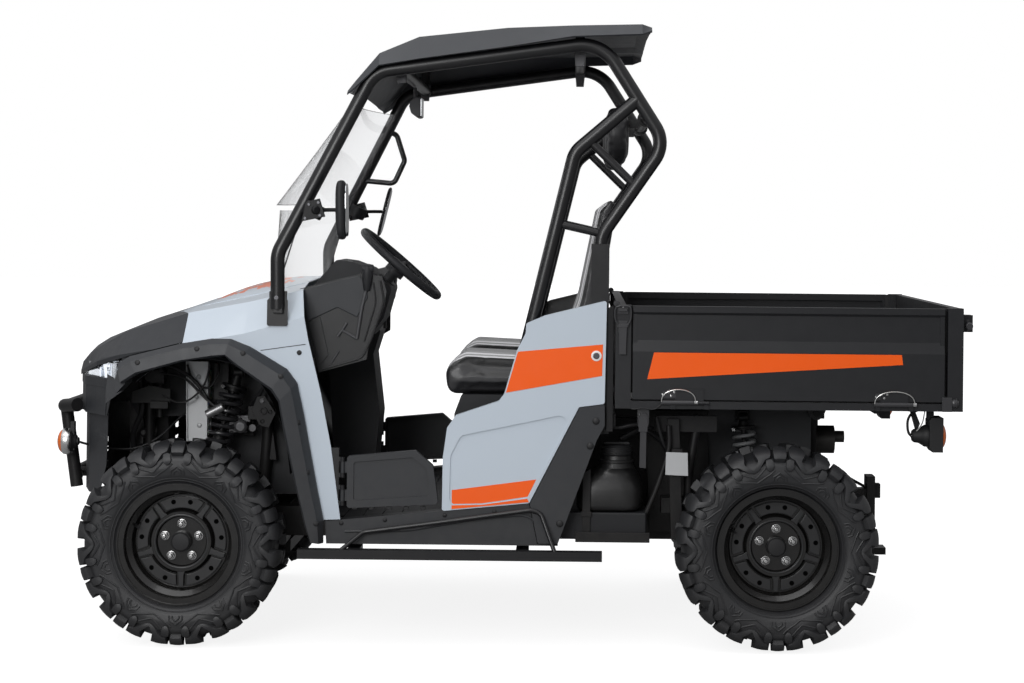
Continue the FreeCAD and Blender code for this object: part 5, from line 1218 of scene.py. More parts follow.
def headlamp_inside():
    """A silvered skin 10 mm behind the lens's front and one along its side, with lit strips on
    them."""
    low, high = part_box("headlights")
    ys, zs = np.linspace(0.325, 0.603, 25), np.linspace(low[2] + 0.016, high[2] - 0.012, 4)
    rows = np.array([[front_face("headlights", y, z) for z in zs] for y in ys])
    rows[..., 0] = np.where(np.isnan(rows[..., 0]), np.nanmin(rows[..., 0], axis=1, keepdims=True),
                            rows[..., 0])
    rows[..., 1], rows[..., 2] = ys[:, None], zs[None]
    rows[..., 0] -= 0.010
    xs, zs = np.linspace(1.258, 1.352, 9), np.linspace(0.846, 0.897, 3)
    spots = np.array([[left_face("headlights", x, z)[0] for z in zs] for x in xs])
    spots[..., 1] = np.where(np.isnan(spots[..., 1]), np.nanmin(spots[..., 1]), spots[..., 1])
    spots[..., 0], spots[..., 2] = xs[:, None], zs[None]
    spots[..., 1] -= 0.008 + 0.004 * ((np.arange(9) // 4) % 2)[:, None]
    bright = []
    for y in (0.380, 0.455, 0.530):
        x = front_face("headlights", y, 0.865)[0]
        bright.append(block((x - 0.010, y - 0.020, 0.850), (x - 0.005, y + 0.020, 0.880)))
    corner = left_face("headlights", 1.288, 0.872)[0]
    bright.append(slab([(1.272, 0.850), (1.300, 0.850), (1.305, 0.893), (1.277, 0.893),
                        (1.281, 0.884), (1.294, 0.884), (1.291, 0.859), (1.273, 0.859)],
                       corner[1] - 0.007, corner[1] - 0.002))
    both("lamp_reflectors", [skin(rows), skin(spots)], lamp_shell, "lamp_clear", angle=12)
    both("lamp_leds", bright, led_white, "lamp_clear")


def nose():
    """The nose with its lip lifted by 0.016 and its tip drawn back by 0.024, both growing from x =
    1.22."""
    def bend(p):
        share = np.clip((p[:, 0] - 1.22) / 0.27, 0, 1)
        low = np.clip((1.00 - p[:, 2]) / 0.10, 0, 1)
        return p + np.stack([-0.024 * share, 0 * share, 0.016 * low * np.clip(share * 2.5, 0, 1)],
                            1)
    make("nose", [reshaped("nose_panel", bend)], dark_panel, "chassis", "body_dark",
         stands_for=["nose_panel"], angle=12)


def marker_lamps():
    """Amber domes that face forwards in chrome rings, on the bar's legs."""
    y, z = 0.3985, 0.622
    ring = [(0.036, 1.452), (0.041, 1.449), (0.0445, 1.455), (0.0445, 1.468), (0.043, 1.476),
            (0.040, 1.478), (0.036, 1.474)]
    body = [(0, 1.432), (0.020, 1.432), (0.022, 1.436), (0.027, 1.442), (0.034, 1.446),
            (0.036, 1.456), (0, 1.456)]
    centre = (0, y, z)
    parts = [turned([(0, 1.460), (0.040, 1.460), *dome(0.040, 1.475, 1.496, 9)], centre, AHEAD, 40)]
    both("marker_domes", parts, amber_lens, "lamp_amber", stands_for=["marker_lamps"])
    both("marker_rings", [turned(ring, centre, AHEAD, 48, loop=True)], bright_steel, "rod_steel")
    shell = [turned(body, centre, AHEAD, 40),
             block((1.438, y - 0.012, z - 0.030), (1.452, y + 0.012, z + 0.066)),
             tube([(1.445, y, z), (1.425, y, z)], 0.013, sides=18)]
    lead = tube([(1.432, y, z), (1.405, 0.388, 0.612), (1.345, 0.335, 0.592), (1.250, 0.320, 0.588),
                 (1.170, 0.318, 0.628), (1.110, 0.322, 0.690), (1.060, 0.330, 0.735),
                 (1.030, 0.335, 0.800)], 0.0042, 0.05, 10)
    both("marker_shells", shell, black_rubber, "body_dark", bevel=0.001)
    both("marker_leads", [lead], lead_rubber, "body_dark")


def tail_lamp_units():
    """Dark housings under the bed's rear corners with amber domes that face back."""
    y, z = 0.610, 0.690
    amber = turned([(0, -1.420), (0.041, -1.420), *dome(0.041, -1.426, -1.4425, 9)], (0, y, z),
                   AHEAD, 40)
    shell = [slab([(-1.382, 0.656), (-1.392, 0.640), (-1.426, 0.640), (-1.427, 0.752),
                   (-1.388, 0.752), (-1.382, 0.742)], y - 0.048, y + 0.048),
             turned([(0, -1.330), (0.016, -1.330), (0.022, -1.337), (0.024, -1.352),
                     (0.031, -1.364), (0.036, -1.372), (0.036, -1.388), (0, -1.388)], (0, y, z),
                    AHEAD, 32),
             slab([(-1.352, 0.706), (-1.342, 0.712), (-1.322, 0.782), (-1.338, 0.782),
                   (-1.360, 0.728)], y - 0.016, y - 0.012),
             block((-1.400, y - 0.020, 0.744), (-1.380, y + 0.020, 0.770))]
    shell.append(tube([(-1.332, y, 0.686), (-1.318, y, 0.700), (-1.316, y, 0.740),
                       (-1.330, y, 0.764), (-1.356, y, 0.775)], 0.0045, 0.02, 10))
    both("tail_shells", shell, black_rubber, "bed_steel", "bed", stands_for=["tail_lamps"],
         bevel=0.002)
    both("tail_domes", [amber], amber_lens, "lamp_amber", "bed")
    loop = tube([(-1.330, y + 0.010, 0.690), (-1.362, y + 0.020, 0.726),
                 (-1.370, y + 0.022, 0.775)], 0.0020, 0.02, 8)
    both("tail_leads", [loop], wire_steel, "rod_steel", "bed")


def filled(places, values):
    """The values with those that a ray missed taken from their neighbours."""
    found = ~np.isnan(values)
    return np.interp(places, places[found], values[found])


def lip(path, profile):
    """A closed profile of (x, z) or (y, z) offsets carried along a path of (x, y, z) places,
    without turning."""
    return skin(path[:, None] + profile[None], loop_v=True, caps=True)


def lamp_cheeks():
    """Dark cheeks beside the headlights, a sill under them and a filler behind the nose's seam."""
    reach = front_face("headlights", 0.600, 0.860)[0]
    cheek = np.array([(1.352, 0.868), (1.321, 0.8425), (1.289, 0.863), (1.2393, 0.8353),
                      (1.232, 0.811), (1.2885, 0.7695), (1.352, 0.728), (1.372, 0.80)])
    cheek[:, 0] = np.minimum(cheek[:, 0], reach + 0.001 * np.arange(8))
    side = [(1.2393, 0.8353), (1.2300, 0.885), (1.2050, 0.895), (1.2050, 0.840), (1.232, 0.811)]
    ys = np.linspace(0.312, 0.618, 18)
    front = filled(ys, np.array([front_face("headlights", y, 0.836)[0] for y in ys]))
    under = np.array([(0.003, 0, 0.816), (0.003, 0, 0.846), (-0.004, 0, 0.850), (-0.006, 0, 0.816)])
    behind = np.array([(0, -0.003, -0.022), (0, -0.003, 0.012), (0, -0.012, 0.012),
                       (0, -0.012, -0.022)])
    parts = [slab(cheek, 0.616, 0.627), slab(side, 0.612, 0.735),
             lip(np.stack([front, ys, 0 * ys], 1), under),
             lip(np.stack([SEAM_X, filled(SEAM_X, SEAM_Y), SEAM_Z], 1), behind)]
    both("lamp_cheeks", parts, dark_panel, "body_dark", bevel=0.003)


SEAM_X = np.linspace(1.045, 1.232, 12)
SEAM_Z = 0.9640 - 0.29 * (SEAM_X - 1.045)
SEAM_Y = np.array([left_face("nose_panel", x, z + 0.022)[0][1] for x, z in zip(SEAM_X, SEAM_Z)])
headlamp_inside()
nose()
lamp_cheeks()
marker_lamps()
tail_lamp_units()
print("lamps are made again")

# %% [markdown]
# The dampers stay where the engineering model has them, but their coils become real helices about
# the line between two eyes.

# %% Coil springs and dampers
dull_alloy = finish("dull_alloy", (0.34, 0.34, 0.345), 0.40, 0.3, 0.001, 0.08, metal=0.8)
spring_black = finish("spring_black", (0.020, 0.020, 0.022), 0.30, 0.2, 0.001, 0.1, coat=0.3)
spring_pale = finish("spring_pale", (0.20, 0.205, 0.21), 0.34, 0.2, 0.001, 0.08, coat=0.2)
FRONT_DAMPER = ((1.000, 0.420, 0.468), (0.893, 0.400, 0.858))
REAR_DAMPER = ((-0.812, 0.380, 0.468), (-0.800, 0.372, 0.722))


def damper(low, high, coil, wire, turns):
    """Steel and coil parts of one coil-over unit between its lower and upper eyes."""
    low, high = np.array(low), np.array(high)
    along = (high - low) / np.linalg.norm(high - low)
    length = np.linalg.norm(high - low)

    def ring(start, end, r0, r1=None):
        r1 = r1 or r0
        return turned([(0, start), (r0, start), (r1, end), (0, end)], low, along, 28)

    steel = [ring(0.012, length * 0.50, 0.021), ring(length * 0.5, length * 0.88, 0.009),
             ring(0.030, 0.036, coil + 0.006), ring(0.036, 0.048, 0.026),
             ring(length * 0.87, length * 0.89, coil + 0.006),
             ring(length * 0.84, length * 0.87, 0.024),
             ring(length * 0.89, length - 0.010, 0.018, 0.013)]
    for eye in (low, high):
        steel.append(tube([eye - [0.0150, 0, 0], eye + [0.0150, 0, 0]], 0.0148, sides=24))
    coils = spring(low + along * (0.038 + wire), low + along * (length * 0.868 - wire), coil,
                   wire, turns)
    return steel, coils


def fit_dampers():
    """Four units, with a reservoir and its hose on the front ones."""
    steel_f, coil_f = damper(*FRONT_DAMPER, 0.0375, 0.0068, 11.5)
    steel_r, coil_r = damper(*REAR_DAMPER, 0.0345, 0.0062, 6.5)
    both("dampers", steel_f + steel_r, frame_paint, "spring_steel", stands_for=["shocks"],
         bevel=0.001)
    both("front_coils", [coil_f], spring_black, "spring_steel")
    both("rear_coils", [coil_r], spring_pale, "spring_steel")
    can = [turned([(0, 0), (0.012, 0), (0.0145, 0.003), (0.0145, 0.060), (0.012, 0.063),
                   (0, 0.063)], (0.935, 0.448, 0.748), (0.80, 0.05, -0.42), 28)]
    neck = [tube([(0.936, 0.446, 0.748), (0.925, 0.430, 0.765), (0.915, 0.405, 0.790)],
                 0.006, 0.01, 12)]
    both("reservoirs", can, dull_alloy, "rod_steel", bevel=0.0008)
    both("reservoir_hoses", neck, lead_rubber, "spring_steel")


fit_dampers()
print("four coil-over dampers")

# %% [markdown]
# Behind the front wheels the vehicle is dense: liners, a pale strut tower, brackets, hoses and
# brake parts. Everything there keeps inside 0.33 m of the middle plane below the tyre's top, where
# the steered wheel sweeps.

# %% The front wheel arches
def hose(points, radius):
    """A soft tube with wide bends."""
    return tube(points, radius, 0.04, 10)


def liners():
    """Dark inner panels: behind the wheel, in front of it and above it."""
    parts = [slab([(0.610, 0.440), (0.800, 0.440), (0.800, 0.885), (0.680, 0.880), (0.640, 0.800)],
                  0.296, 0.299),
             slab([(0.800, 0.700), (1.250, 0.700), (1.300, 0.790), (1.235, 0.900), (0.800, 0.900)],
                  0.290, 0.293),
             slab([(0.800, 0.440), (0.960, 0.440), (0.960, 0.700), (0.800, 0.700)], 0.292, 0.295)]
    arch = np.array([(1.235, 0.820), (1.190, 0.860), (1.10, 0.895), (1.00, 0.905), (0.90, 0.885),
                     (0.82, 0.83), (0.765, 0.74), (0.730, 0.64), (0.715, 0.52)])
    lining = rounded_path(np.insert(arch, 1, 0.0, axis=1), 0.05, 5)
    rows = np.stack([lining + [0, y, 0] for y in (0.300, 0.420)])
    parts.append(skin(np.concatenate([rows, rows[::-1] + [0, 0, 0.003]]), loop_u=True))
    both("arch_liners", parts, cabin_plastic, "body_dark")


def strut_tower():
    """The pale pressed upright beside the damper, with three dimples and a folded edge."""
    y = 0.3535
    plate = [slab([(1.004, 0.622), (1.070, 0.622), (1.074, 0.890), (1.000, 0.890)], y, y + 0.003),
             slab([(1.002, 0.622), (1.006, 0.622), (1.004, 0.890), (1.000, 0.890)], y, y + 0.016),
             slab([(1.068, 0.622), (1.072, 0.622), (1.076, 0.890), (1.072, 0.890)], y, y + 0.012)]
    dots = [turned(dome(0.0085, 0.0005, 0.0045), (x, y + 0.003, z), LEFT, 20)
            for x, z in ((1.030, 0.675), (1.042, 0.772), (1.034, 0.838))]
    both("strut_towers", plate + dots, pale_alloy, "radiator_alloy", bevel=0.0008)


def arch_brackets():
    """Brackets with bolt holes, boxes, posts, the castings of the steering gear and their bolts."""
    outline = [(0.760, 0.727), (0.797, 0.785), (0.823, 0.781), (0.841, 0.735), (0.815, 0.687),
               (0.783, 0.677)]
    dark = [slab(outline, 0.448, 0.452),
            slab([(0.770, 0.560), (0.800, 0.560), (0.818, 0.690), (0.788, 0.690)], 0.330, 0.345),
            slab([(1.120, 0.752), (1.250, 0.752), (1.250, 0.790), (1.190, 0.812), (1.120, 0.800)],
                 0.400, 0.404), block((1.125, 0.380, 0.735), (1.185, 0.420, 0.760)),
            block((1.150, 0.310, 0.815), (1.215, 0.360, 0.860)),
            block((0.935, 0.300, 0.760), (0.985, 0.345, 0.885)),
            block((0.815, 0.300, 0.700), (0.860, 0.400, 0.745)),
            block((0.850, 0.325, 0.640), (0.890, 0.335, 0.690)),
            tube([(1.205, 0.300, 0.500), (1.205, 0.330, 0.900)], 0.016, sides=14),
            tube([(1.165, 0.345, 0.905), (1.165, 0.345, 0.700)], 0.012, sides=14),
            tube([(0.815, 0.330, 0.470), (0.785, 0.345, 0.880)], 0.019, sides=16)]
    for x, z, r in ((0.801, 0.735, 0.013), (0.779, 0.731, 0.007), (0.805, 0.700, 0.007)):
        dark.append(collar(r * 0.6, r, 0.005, (x, 0.452, z), LEFT))
    for x, z in ((1.20, 0.70), (1.225, 0.645), (1.19, 0.60), (1.235, 0.59)):
        dark.append(turned([(0, 0), (0.016, 0), (0.016, 0.012), (0.008, 0.020), (0, 0.020)],
                           (x, 0.305, z), LEFT, 20))
    both("arch_brackets", dark, frame_paint, "frame_steel", bevel=0.0015)
    cast = [block((0.868, 0.300, 0.655), (0.925, 0.392, 0.690)),
            block((0.855, 0.318, 0.690), (0.900, 0.380, 0.712)),
            turned([(0, 0), (0.022, 0), (0.022, 0.030), (0.014, 0.036), (0, 0.036)],
                   (0.882, 0.392, 0.678), LEFT, 24),
            disc(0.013, 0.016, (0.845, 0.385, 0.672), LEFT, 20)]
    both("arch_castings", cast, grey_casting, "cast_metal", bevel=0.002)
    bolts = hex_bolts([(0.805, 0.452, 0.767), (0.895, 0.392, 0.700), (0.872, 0.392, 0.662)], LEFT,
                      0.013, 0.007, 0.009)
    both("arch_bolts", bolts, grey_casting, "rod_steel", bevel=0.0004)


def arch_hoses():
    """Eight hoses and leads between the arch's inner panel and the damper."""
    lines = [hose([(1.180, 0.360, 0.870), (1.120, 0.380, 0.880), (1.040, 0.385, 0.830),
                   (0.985, 0.392, 0.745), (0.930, 0.395, 0.740)], 0.0060),
             hose([(1.160, 0.372, 0.850), (1.080, 0.390, 0.845), (1.000, 0.398, 0.765),
                   (0.935, 0.400, 0.715), (0.885, 0.385, 0.700)], 0.0045),
             hose([(1.070, 0.372, 0.880), (1.050, 0.382, 0.820), (0.995, 0.388, 0.795),
                   (0.960, 0.388, 0.850), (0.965, 0.370, 0.890)], 0.0040),
             hose([(1.230, 0.350, 0.835), (1.170, 0.400, 0.790), (1.080, 0.408, 0.745),
                   (1.010, 0.395, 0.800), (0.990, 0.385, 0.880)], 0.0035),
             hose([(0.700, 0.430, 0.700), (0.712, 0.440, 0.780), (0.745, 0.440, 0.870),
                   (0.830, 0.430, 0.880)], 0.0075),
             hose([(0.870, 0.345, 0.720), (0.840, 0.375, 0.760), (0.800, 0.395, 0.820),
                   (0.815, 0.385, 0.890)], 0.0065),
             hose([(0.665, 0.400, 0.500), (0.672, 0.410, 0.640), (0.690, 0.420, 0.760),
                   (0.735, 0.420, 0.880)], 0.0055),
             hose([(1.250, 0.300, 0.560), (1.265, 0.330, 0.640), (1.220, 0.345, 0.720),
                   (1.235, 0.340, 0.830)], 0.0100)]
    both("arch_hoses", lines, lead_rubber, "body_dark")


pale_alloy = finish("pale_alloy", (0.52, 0.53, 0.54), 0.42, 0.5, 0.002, 0.10, 0.05, metal=0.35)
grey_casting = finish("grey_casting", (0.10, 0.10, 0.105), 0.45, 0.7, 0.003, 0.15, 0.1, metal=0.6)
liners()
strut_tower()
arch_brackets()
arch_hoses()
print("the arches are filled")

# %% [markdown]
# The same density fills the rear: the fuel tank's rings and strap, its cap, boots on the half
# shafts, a blank plate, brackets and hoses.

# %% Under the bed
def signed_power(values, power):
    """|v|^power with the sign of v, for rounded rectangles."""
    return np.sign(values) * np.abs(values) ** power


def tank():
    """Rings of a rounded box that shrinks into a ribbed neck.

    Each ring is |x/a|^n + |y/b|^n = 1, with the half widths a and b and the exponent n read
        from a table.
    """
    low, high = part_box("fuel_tank")
    x0, y0, y1 = -0.346, (low[1] + high[1]) / 2, 0.568
    # height, half length, half width, exponent, share of the way from the tank's middle to the neck
    table = np.array([(0.436, 0.100, 0.158, 5, 0), (0.442, 0.109, 0.167, 5, 0),
                      (0.455, 0.112, 0.169, 5, 0), (0.500, 0.112, 0.169, 4.5, 0),
                      (0.525, 0.107, 0.162, 4, 0.02), (0.543, 0.096, 0.142, 3.2, 0.15),
                      (0.556, 0.082, 0.112, 2.6, 0.40), (0.566, 0.068, 0.078, 2.2, 0.75),
                      (0.574, 0.058, 0.060, 2, 1), (0.590, 0.052, 0.052, 2, 1),
                      (0.592, 0.056, 0.056, 2, 1), (0.598, 0.056, 0.056, 2, 1),
                      (0.600, 0.050, 0.050, 2, 1), (0.612, 0.048, 0.048, 2, 1)])
    cosines, sines = circle(64)
    power = 2 / table[:, 3:4]
    x1 = x0 - 0.026
    grid = np.stack([x0 + (x1 - x0) * table[:, 4:5] + table[:, 1:2]
                     * signed_power(cosines[None], power),
                     y0 + (y1 - y0) * table[:, 4:5] + table[:, 2:3]
                     * signed_power(sines[None], power), np.repeat(table[:, 0:1], 64, 1)], -1)
    make("tank_body", [skin(grid, loop_v=True, caps=True)], tank_plastic, "chassis",
         "cabin_plastic", stands_for=["fuel_tank"], angle=50)
    cap = [turned([(0, 0.612), (0.046, 0.612), (0.050, 0.616), (0.050, 0.640), (0.044, 0.647),
                   (0.020, 0.650), (0, 0.650)], (x1, y1, 0), UP, 40),
           slab([(x1 - 0.045, 0.648), (x1 + 0.045, 0.648), (x1 + 0.040, 0.656),
                 (x1 - 0.040, 0.656)], y1 - 0.008, y1 + 0.008)]
    ribs = [turned([(0.049, 0), (0.0525, 0.0015), (0.0525, 0.0045), (0.049, 0.006)], (x1, y1, z),
                   UP, 40, loop=True) for z in (0.617, 0.626, 0.635)]
    make("tank_cap", cap + ribs, black_rubber, "chassis", "cabin_plastic", bevel=0.0012)
    shelf = [slab([(low[0] + 0.010, 0.345), (-0.180, 0.345), (-0.180, 0.420), (-0.200, 0.433),
                   (low[0] + 0.010, 0.433)], y0 - 0.120, high[1] - 0.002)]
    make("tank_shelf", shelf, cabin_plastic, "chassis", "frame_steel", bevel=0.006)
    strap = [slab([(-0.288, 0.346), (-0.262, 0.346), (-0.262, 0.560), (-0.288, 0.575)],
                  high[1] + 0.001, high[1] + 0.005),
             slab([(-0.292, 0.420), (-0.258, 0.420), (-0.258, 0.436), (-0.292, 0.436)],
                  high[1] + 0.001, high[1] + 0.009)]
    make("tank_strap", strap, frame_paint, "chassis", "frame_steel", bevel=0.001)


def rear_clutter():
    """A blank plate, brackets, struts and hoses behind the tank."""
    plate = [slab([(-0.530, 0.556), (-0.604, 0.553), (-0.602, 0.628), (-0.532, 0.630)],
                  0.628, 0.630)]
    make("blank_plate", plate, pale_alloy, "chassis", "rod_steel", bevel=0.0004)
    dark = [tube([(-0.540, 0.610, 0.715), (-0.545, 0.612, 0.640), (-0.500, 0.612, 0.500),
                  (-0.458, 0.606, 0.402)], 0.009, 0.05, 12),
            slab([(-0.552, 0.345), (-0.590, 0.345), (-0.575, 0.735), (-0.537, 0.735)],
                 0.585, 0.600), block((-0.585, 0.600, 0.620), (-0.550, 0.628, 0.640)),
            tube([(-0.640, 0.560, 0.745), (-0.610, 0.560, 0.560), (-0.600, 0.540, 0.330)],
                 0.014, 0.03, 14),
            slab([(-0.490, 0.330), (-0.700, 0.330), (-0.680, 0.740), (-0.470, 0.740)],
                 0.330, 0.334),
            slab([(-0.500, 0.690), (-0.700, 0.690), (-0.700, 0.744), (-0.500, 0.744)],
                 0.560, 0.575),
            slab([(-0.240, 0.340), (-0.480, 0.340), (-0.480, 0.372), (-0.240, 0.372)],
                 0.655, 0.668), block((-0.345, 0.640, 0.690), (-0.305, 0.672, 0.780)),
            block((-0.520, 0.450, 0.420), (-0.600, 0.540, 0.470))]
    both("rear_brackets", dark, frame_paint, "frame_steel", bevel=0.0015)
    lines = [hose([(-0.385, 0.520, 0.660), (-0.460, 0.500, 0.700), (-0.540, 0.470, 0.640),
                   (-0.560, 0.440, 0.520)], 0.010),
             hose([(-0.500, 0.600, 0.740), (-0.520, 0.600, 0.660), (-0.555, 0.570, 0.600),
                   (-0.620, 0.520, 0.560)], 0.006),
             hose([(-0.330, 0.600, 0.740), (-0.360, 0.610, 0.700), (-0.440, 0.600, 0.720),
                   (-0.490, 0.560, 0.700)], 0.007),
             hose([(-0.620, 0.470, 0.500), (-0.640, 0.500, 0.420), (-0.600, 0.530, 0.380),
                   (-0.560, 0.500, 0.340)], 0.006)]
    both("rear_hoses", lines, lead_rubber, "body_dark")


def boots():
    """Ribbed boots at both ends of the half shafts: radius 0.026 to 0.040 with six waves.

    r(t) = r0 + (r1 - r0) t + 0.0035 cos(12 pi t)
    """
    parts = []
    t = np.linspace(0, 1, 49)
    wave = 0.0035 * np.cos(t * 12 * math.pi)
    for (x, _), outer in zip(WHEELS.values(), (0.548, 0.508)):
        for start, end, radii in ((0.124, 0.207, (0.040, 0.026)),
                                  (outer - 0.070, outer - 0.008, (0.026, 0.036))):
            line = np.stack([np.linspace(*radii, 49) + wave, start + (end - start) * t], 1)
            parts.append(turned([(0, start), *line, (0, end)], (x, 0, AXLE_HEIGHT), LEFT, 28))
    both("shaft_boots", parts, black_rubber, "frame_steel", angle=60)


tank_plastic = finish("tank_plastic", (0.0062, 0.0064, 0.0070), 0.42, 0.4, 0.002, 0.1, 0.05)
tank()
rear_clutter()
boots()
print("the space under the bed is filled")

# %% [markdown]
# Mirrors are rounded shells with a silvered plate that faces the driver. The roof gets brackets,
# and the hitch pin its handle.

# %% Mirrors
mirror_glass = finish("mirror_glass", (0.62, 0.64, 0.66), 0.05, blotch=0.02, metal=1.0,
                      rough_spread=0.02)
MIRROR_X, MIRROR_Z = 0.5135, 1.404       # the middle of an outer mirror


def rounded_rectangle(half_wide, half_tall, power):
    """Forty points on |x / half_wide|^(2/power) + |z / half_tall|^(2/power) = 1."""
    cosines, sines = circle(40)
    return half_wide * signed_power(cosines, power), half_tall * signed_power(sines, power)


def leant(part, share, lean):
    """x = middle + share * (x - middle) + lean * (z - middle): a thinner mirror, leaning."""
    (x, y, z), faces = part[0].T, part[1]
    return np.stack([MIRROR_X + share * (x - MIRROR_X) + lean * (z - MIRROR_Z), y, z], 1), faces


def mirrors():
    """Shell, plate, arm and clamp on both front posts, and a mirror under the front crossbar. The
    right shell is thinner than the left one and leans."""
    grid = []
    for y, a, c in ((0.716, 0.006, 0.060), (0.719, 0.012, 0.080), (0.730, 0.018, 0.091),
                    (0.770, 0.0200, 0.0945), (0.805, 0.0190, 0.092), (0.820, 0.014, 0.083),
                    (0.826, 0.008, 0.064)):
        x, z = rounded_rectangle(a, c, 0.55)
        grid.append(np.stack([MIRROR_X + x, np.full(40, y), MIRROR_Z + z], 1))
    shell = skin(np.array(grid), loop_v=True, caps=True)
    y, z = rounded_rectangle(0.047, 0.084, 0.6)
    glass = slab(np.stack([0.771 + y, MIRROR_Z + z], 1), 0.4925, 0.4950, axis=0)
    clamp = [tube([(0.600, 0.704, 1.402), (0.560, 0.740, 1.404), (0.522, 0.752, 1.404)],
                  0.0065, 0.02, 14),
             turned([(0.0235, -0.022), (0.034, -0.022), (0.036, -0.016), (0.036, 0.016),
                     (0.034, 0.022), (0.0235, 0.022)], (0.6135, 0.6985, 1.4035),
                    (-0.42, -0.07, 0.905), 36, loop=True),
             slab([(0.632, 1.429), (0.588, 1.440), (0.570, 1.382), (0.646, 1.366)], 0.727, 0.737),
             turned([(0, 0), (0.014, 0), (0.014, 0.010), (0.010, 0.014), (0, 0.014)],
                    (0.602, 0.733, 1.403), (-0.5, 1, 0), 24)]
    bolts = hex_bolts([(0.622, 0.737, 1.421), (0.592, 0.737, 1.427), (0.587, 0.737, 1.386),
                       (0.634, 0.737, 1.376)], LEFT, 0.009, 0.004)
    inside = [slab([(0.317, 1.735), (0.331, 1.733), (0.351, 1.748), (0.358, 1.772), (0.352, 1.796),
                    (0.334, 1.807), (0.319, 1.805)], -0.066, 0.066),
              tube([(0.338, 0, 1.795), (0.341, 0, 1.820), (0.343, 0, 1.842)], 0.007, sides=12)]
    small = [slab([(-0.062, 1.738), (0.062, 1.738), (0.062, 1.802), (-0.062, 1.802)], 0.3155,
                  0.3170, axis=0)]
    near, far = (0.86, 0.02), (0.34, -0.24)
    make("mirror_shells", [leant(shell, *near)] + other_side([leant(shell, *far)]), cabin_plastic,
         "chassis", "cabin_plastic", stands_for=["mirrors"], bevel=0.002, angle=50)
    make("inner_mirror", inside, grey_casting, "chassis", "rod_steel", bevel=0.004)
    make("mirror_plates", [leant(glass, *near)] + other_side([leant(glass, *far)]) + small,
         mirror_glass, "chassis", "rod_steel", bevel=0.0006)
    both("mirror_clamps", clamp, frame_paint, "frame_steel", bevel=0.001)
    both("mirror_bolts", bolts, lock_metal, "rod_steel")


mirrors()
print("three mirrors")

# %% Roof brackets and hitch lever
def cage_trims():
    """Brackets between roof and crossbars, and the hitch pin's handle."""
    pale = []
    for x, z in ((0.345, 1.905), (-0.239, 1.965)):
        section = [(x - 0.014, z - 0.082), (x + 0.014, z - 0.082), (x + 0.020, z - 0.020),
                   (x - 0.020, z - 0.020)]
        pale += [slab(section, 0.556, 0.560), slab(section, 0.536, 0.540)]
    both("roof_brackets", pale, grey_casting, "rod_steel", bevel=0.0008)
    hook = [tube([(-1.192, 0, 0.486), (-1.228, 0, 0.466), (-1.262, 0, 0.448)], 0.0052, 0.01, 12),
            block((-1.312, -0.020, 0.412), (-1.272, 0.020, 0.462))]
    make("hitch_lever", hook, frame_paint, "chassis", "frame_steel", bevel=0.002)


cage_trims()
print("roof brackets and hitch lever are fitted")

# %% [markdown]
# The dash's side walls are drawn in by 30 mm and get ribs. The gear lever and its shafts stand
# beside the left wall. Small switches, vents and a gauge face the seats.

# %% Dash, levers and gauges
# Darker than cabin_plastic: painted shade on the dash's side walls and their ribs.
shaded_wall_plastic = finish("shaded_wall_plastic", (0.0075, 0.0078, 0.0088), 0.42, 0.5, 0.0011, 0.12)
lever_grey = finish("lever_grey", (0.055, 0.056, 0.060), 0.4, 0.3, 0.001, 0.1)


def dash_face(y, z):
    return touch("dashboard", (0.20, y, z), AHEAD)[0]


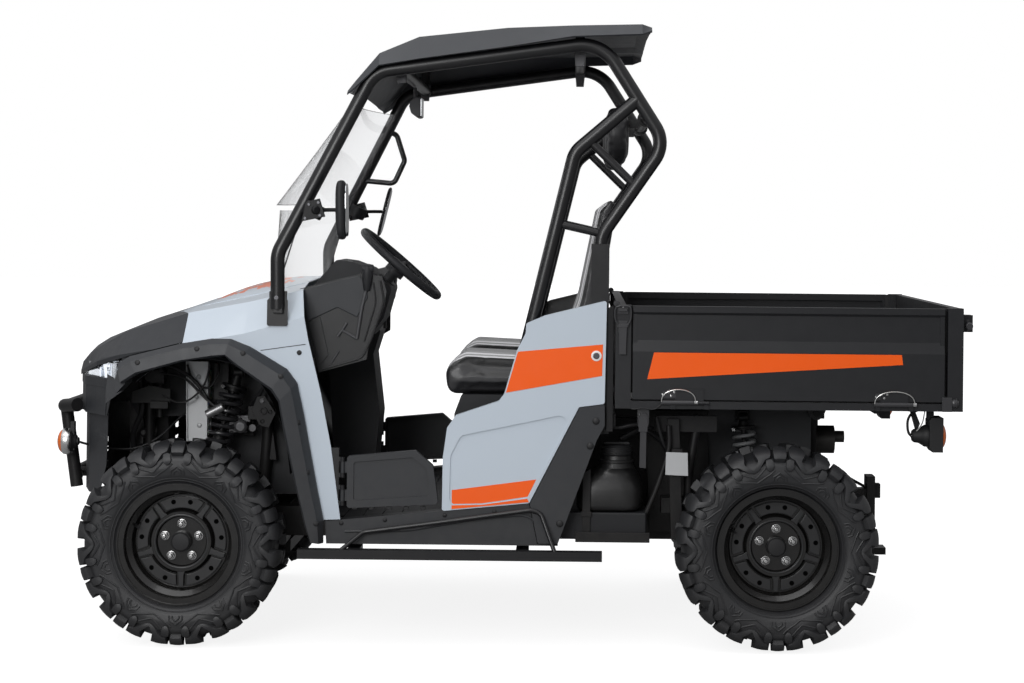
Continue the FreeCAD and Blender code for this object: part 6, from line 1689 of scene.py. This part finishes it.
def dash():
    """The side walls move inwards: y' = y - 0.030 * clip((|y| - 0.54) / 0.05, 0, 1) * sign(y)."""
    def bend(p):
        return p - np.stack([0 * p[:, 0], 0.030 * np.clip((np.abs(p[:, 1]) - 0.54) / 0.05, 0, 1)
                             * np.sign(p[:, 1]), 0 * p[:, 0]], 1)
    pod = dash_face(0.36, 1.172)
    make("dash", [reshaped("dashboard", bend)], cabin_plastic, "chassis", "cabin_plastic",
         stands_for=["dashboard"], angle=30)
    # The wall plates take a darker plastic as painted shade of the recess. The flat facet on the
    # left one takes the lighter dark_panel, a painted highlight where light falls on the upper
    # facet.
    wall = [slab([(0.668, 1.146), (0.470, 1.196), (0.400, 1.190), (0.384, 1.139), (0.392, 1.092),
                  (0.442, 0.955), (0.448, 0.916), (0.605, 0.872)], 0.574, 0.5805)]
    light = [slab([(0.664, 1.143), (0.474, 1.191), (0.455, 1.168), (0.445, 1.120), (0.480, 1.055),
                   (0.545, 1.086), (0.640, 1.040)], 0.5800, 0.5855)]
    y = 0.5820
    ribs = [slab([(0.640, 1.036), (0.600, 1.055), (0.572, 0.930), (0.600, 0.900)], 0.5800, 0.5835),
            tube([(0.405, y, 1.175), (0.392, y, 1.110), (0.432, y, 0.985), (0.462, y, 0.922),
                  (0.590, y, 0.884)], 0.0035, 0.02, 8),
            tube([(0.428, y, 1.170), (0.418, y, 1.105), (0.456, y, 0.975)], 0.0028, 0.02, 8)]
    wall += other_side([slab([(0.668, 1.146), (0.470, 1.192), (0.470, 0.955), (0.605, 0.872)],
                             0.574, 0.5805)])
    make("dash_walls", wall + ribs, shaded_wall_plastic, "chassis", "cabin_plastic", bevel=0.002)
    # The facet's lighter plastic is painted light, and the walls' darker plastic is painted shade.
    both("dash_lit_facets", light, dark_panel, "cabin_plastic", bevel=0.0025)
    knob = [turned([(0, 0), (0.010, 0), (0.0125, 0.010), (0.016, 0.030), (0.0185, 0.055),
                    (0.0185, 0.068), (0.015, 0.078), (0.007, 0.082), (0, 0.082)],
                   (0.4490, 0.585, 1.142), (-0.03, 0, 1), 28),
            turned([(0, 0), (0.0135, 0), (0.015, 0.008), (0.015, 0.028), (0.0135, 0.036),
                    (0, 0.036)], (0.4640, 0.585, 1.213), BACK, 24)]
    y = 0.586
    shaft = [tube([(0.4500, y, 1.150), (0.4650, y, 1.085), (0.4800, y, 0.985)], 0.0052, 0.02),
             tube([(0.4800, y, 0.985), (0.5280, y, 1.012)], 0.0042, sides=10),
             tube([(0.5130, y, 1.036), (0.5280, y, 1.012), (0.5420, y, 0.992)], 0.0038, 0.004, 10),
             tube([(0.5620, 0.584, 0.905), (0.5380, 0.584, 0.945)], 0.0030, sides=8)]
    make("gear_lever", knob, cabin_plastic, "chassis", "cabin_plastic", stands_for=["controls"])
    make("lever_shafts", shaft, lever_grey, "chassis", "cabin_plastic")
    way = np.array([-0.86, 0, 0.5])
    rim = turned([(0.047, -0.02), (0.056, -0.02), (0.058, 0.006), (0.053, 0.012), (0.047, 0.004)],
                 pod, way, 40, loop=True)
    make("gauge_rims", [rim], black_rubber, "chassis", "cabin_plastic", bevel=0.001)
    make("gauge_faces", [disc(0.047, 0.003, pod, way, 40)], lever_grey, "chassis", "cabin_plastic")
    vents = []
    for y in (-0.42, -0.12, 0.12):
        spot = dash_face(y, 1.10)
        vents.append(turned([(0.030, 0), (0.040, 0), (0.040, 0.007), (0.034, 0.010),
                             (0.030, 0.004)], spot, BACK, 36, loop=True))
        vents += [block(spot + [-0.006, -0.030, d - 0.002], spot + [0.002, 0.030, d + 0.002])
                  for d in (-0.016, 0, 0.016)]
    for y in (-0.03, 0.0, 0.03, 0.20, 0.23):
        spot = dash_face(y, 1.02)
        vents.append(block(spot + [-0.007, -0.010, -0.018], spot + [0.002, 0.010, 0.018]))
    make("dash_vents", vents, black_rubber, "chassis", "cabin_plastic", bevel=0.001)


dash()
print("dash, levers and gauges")
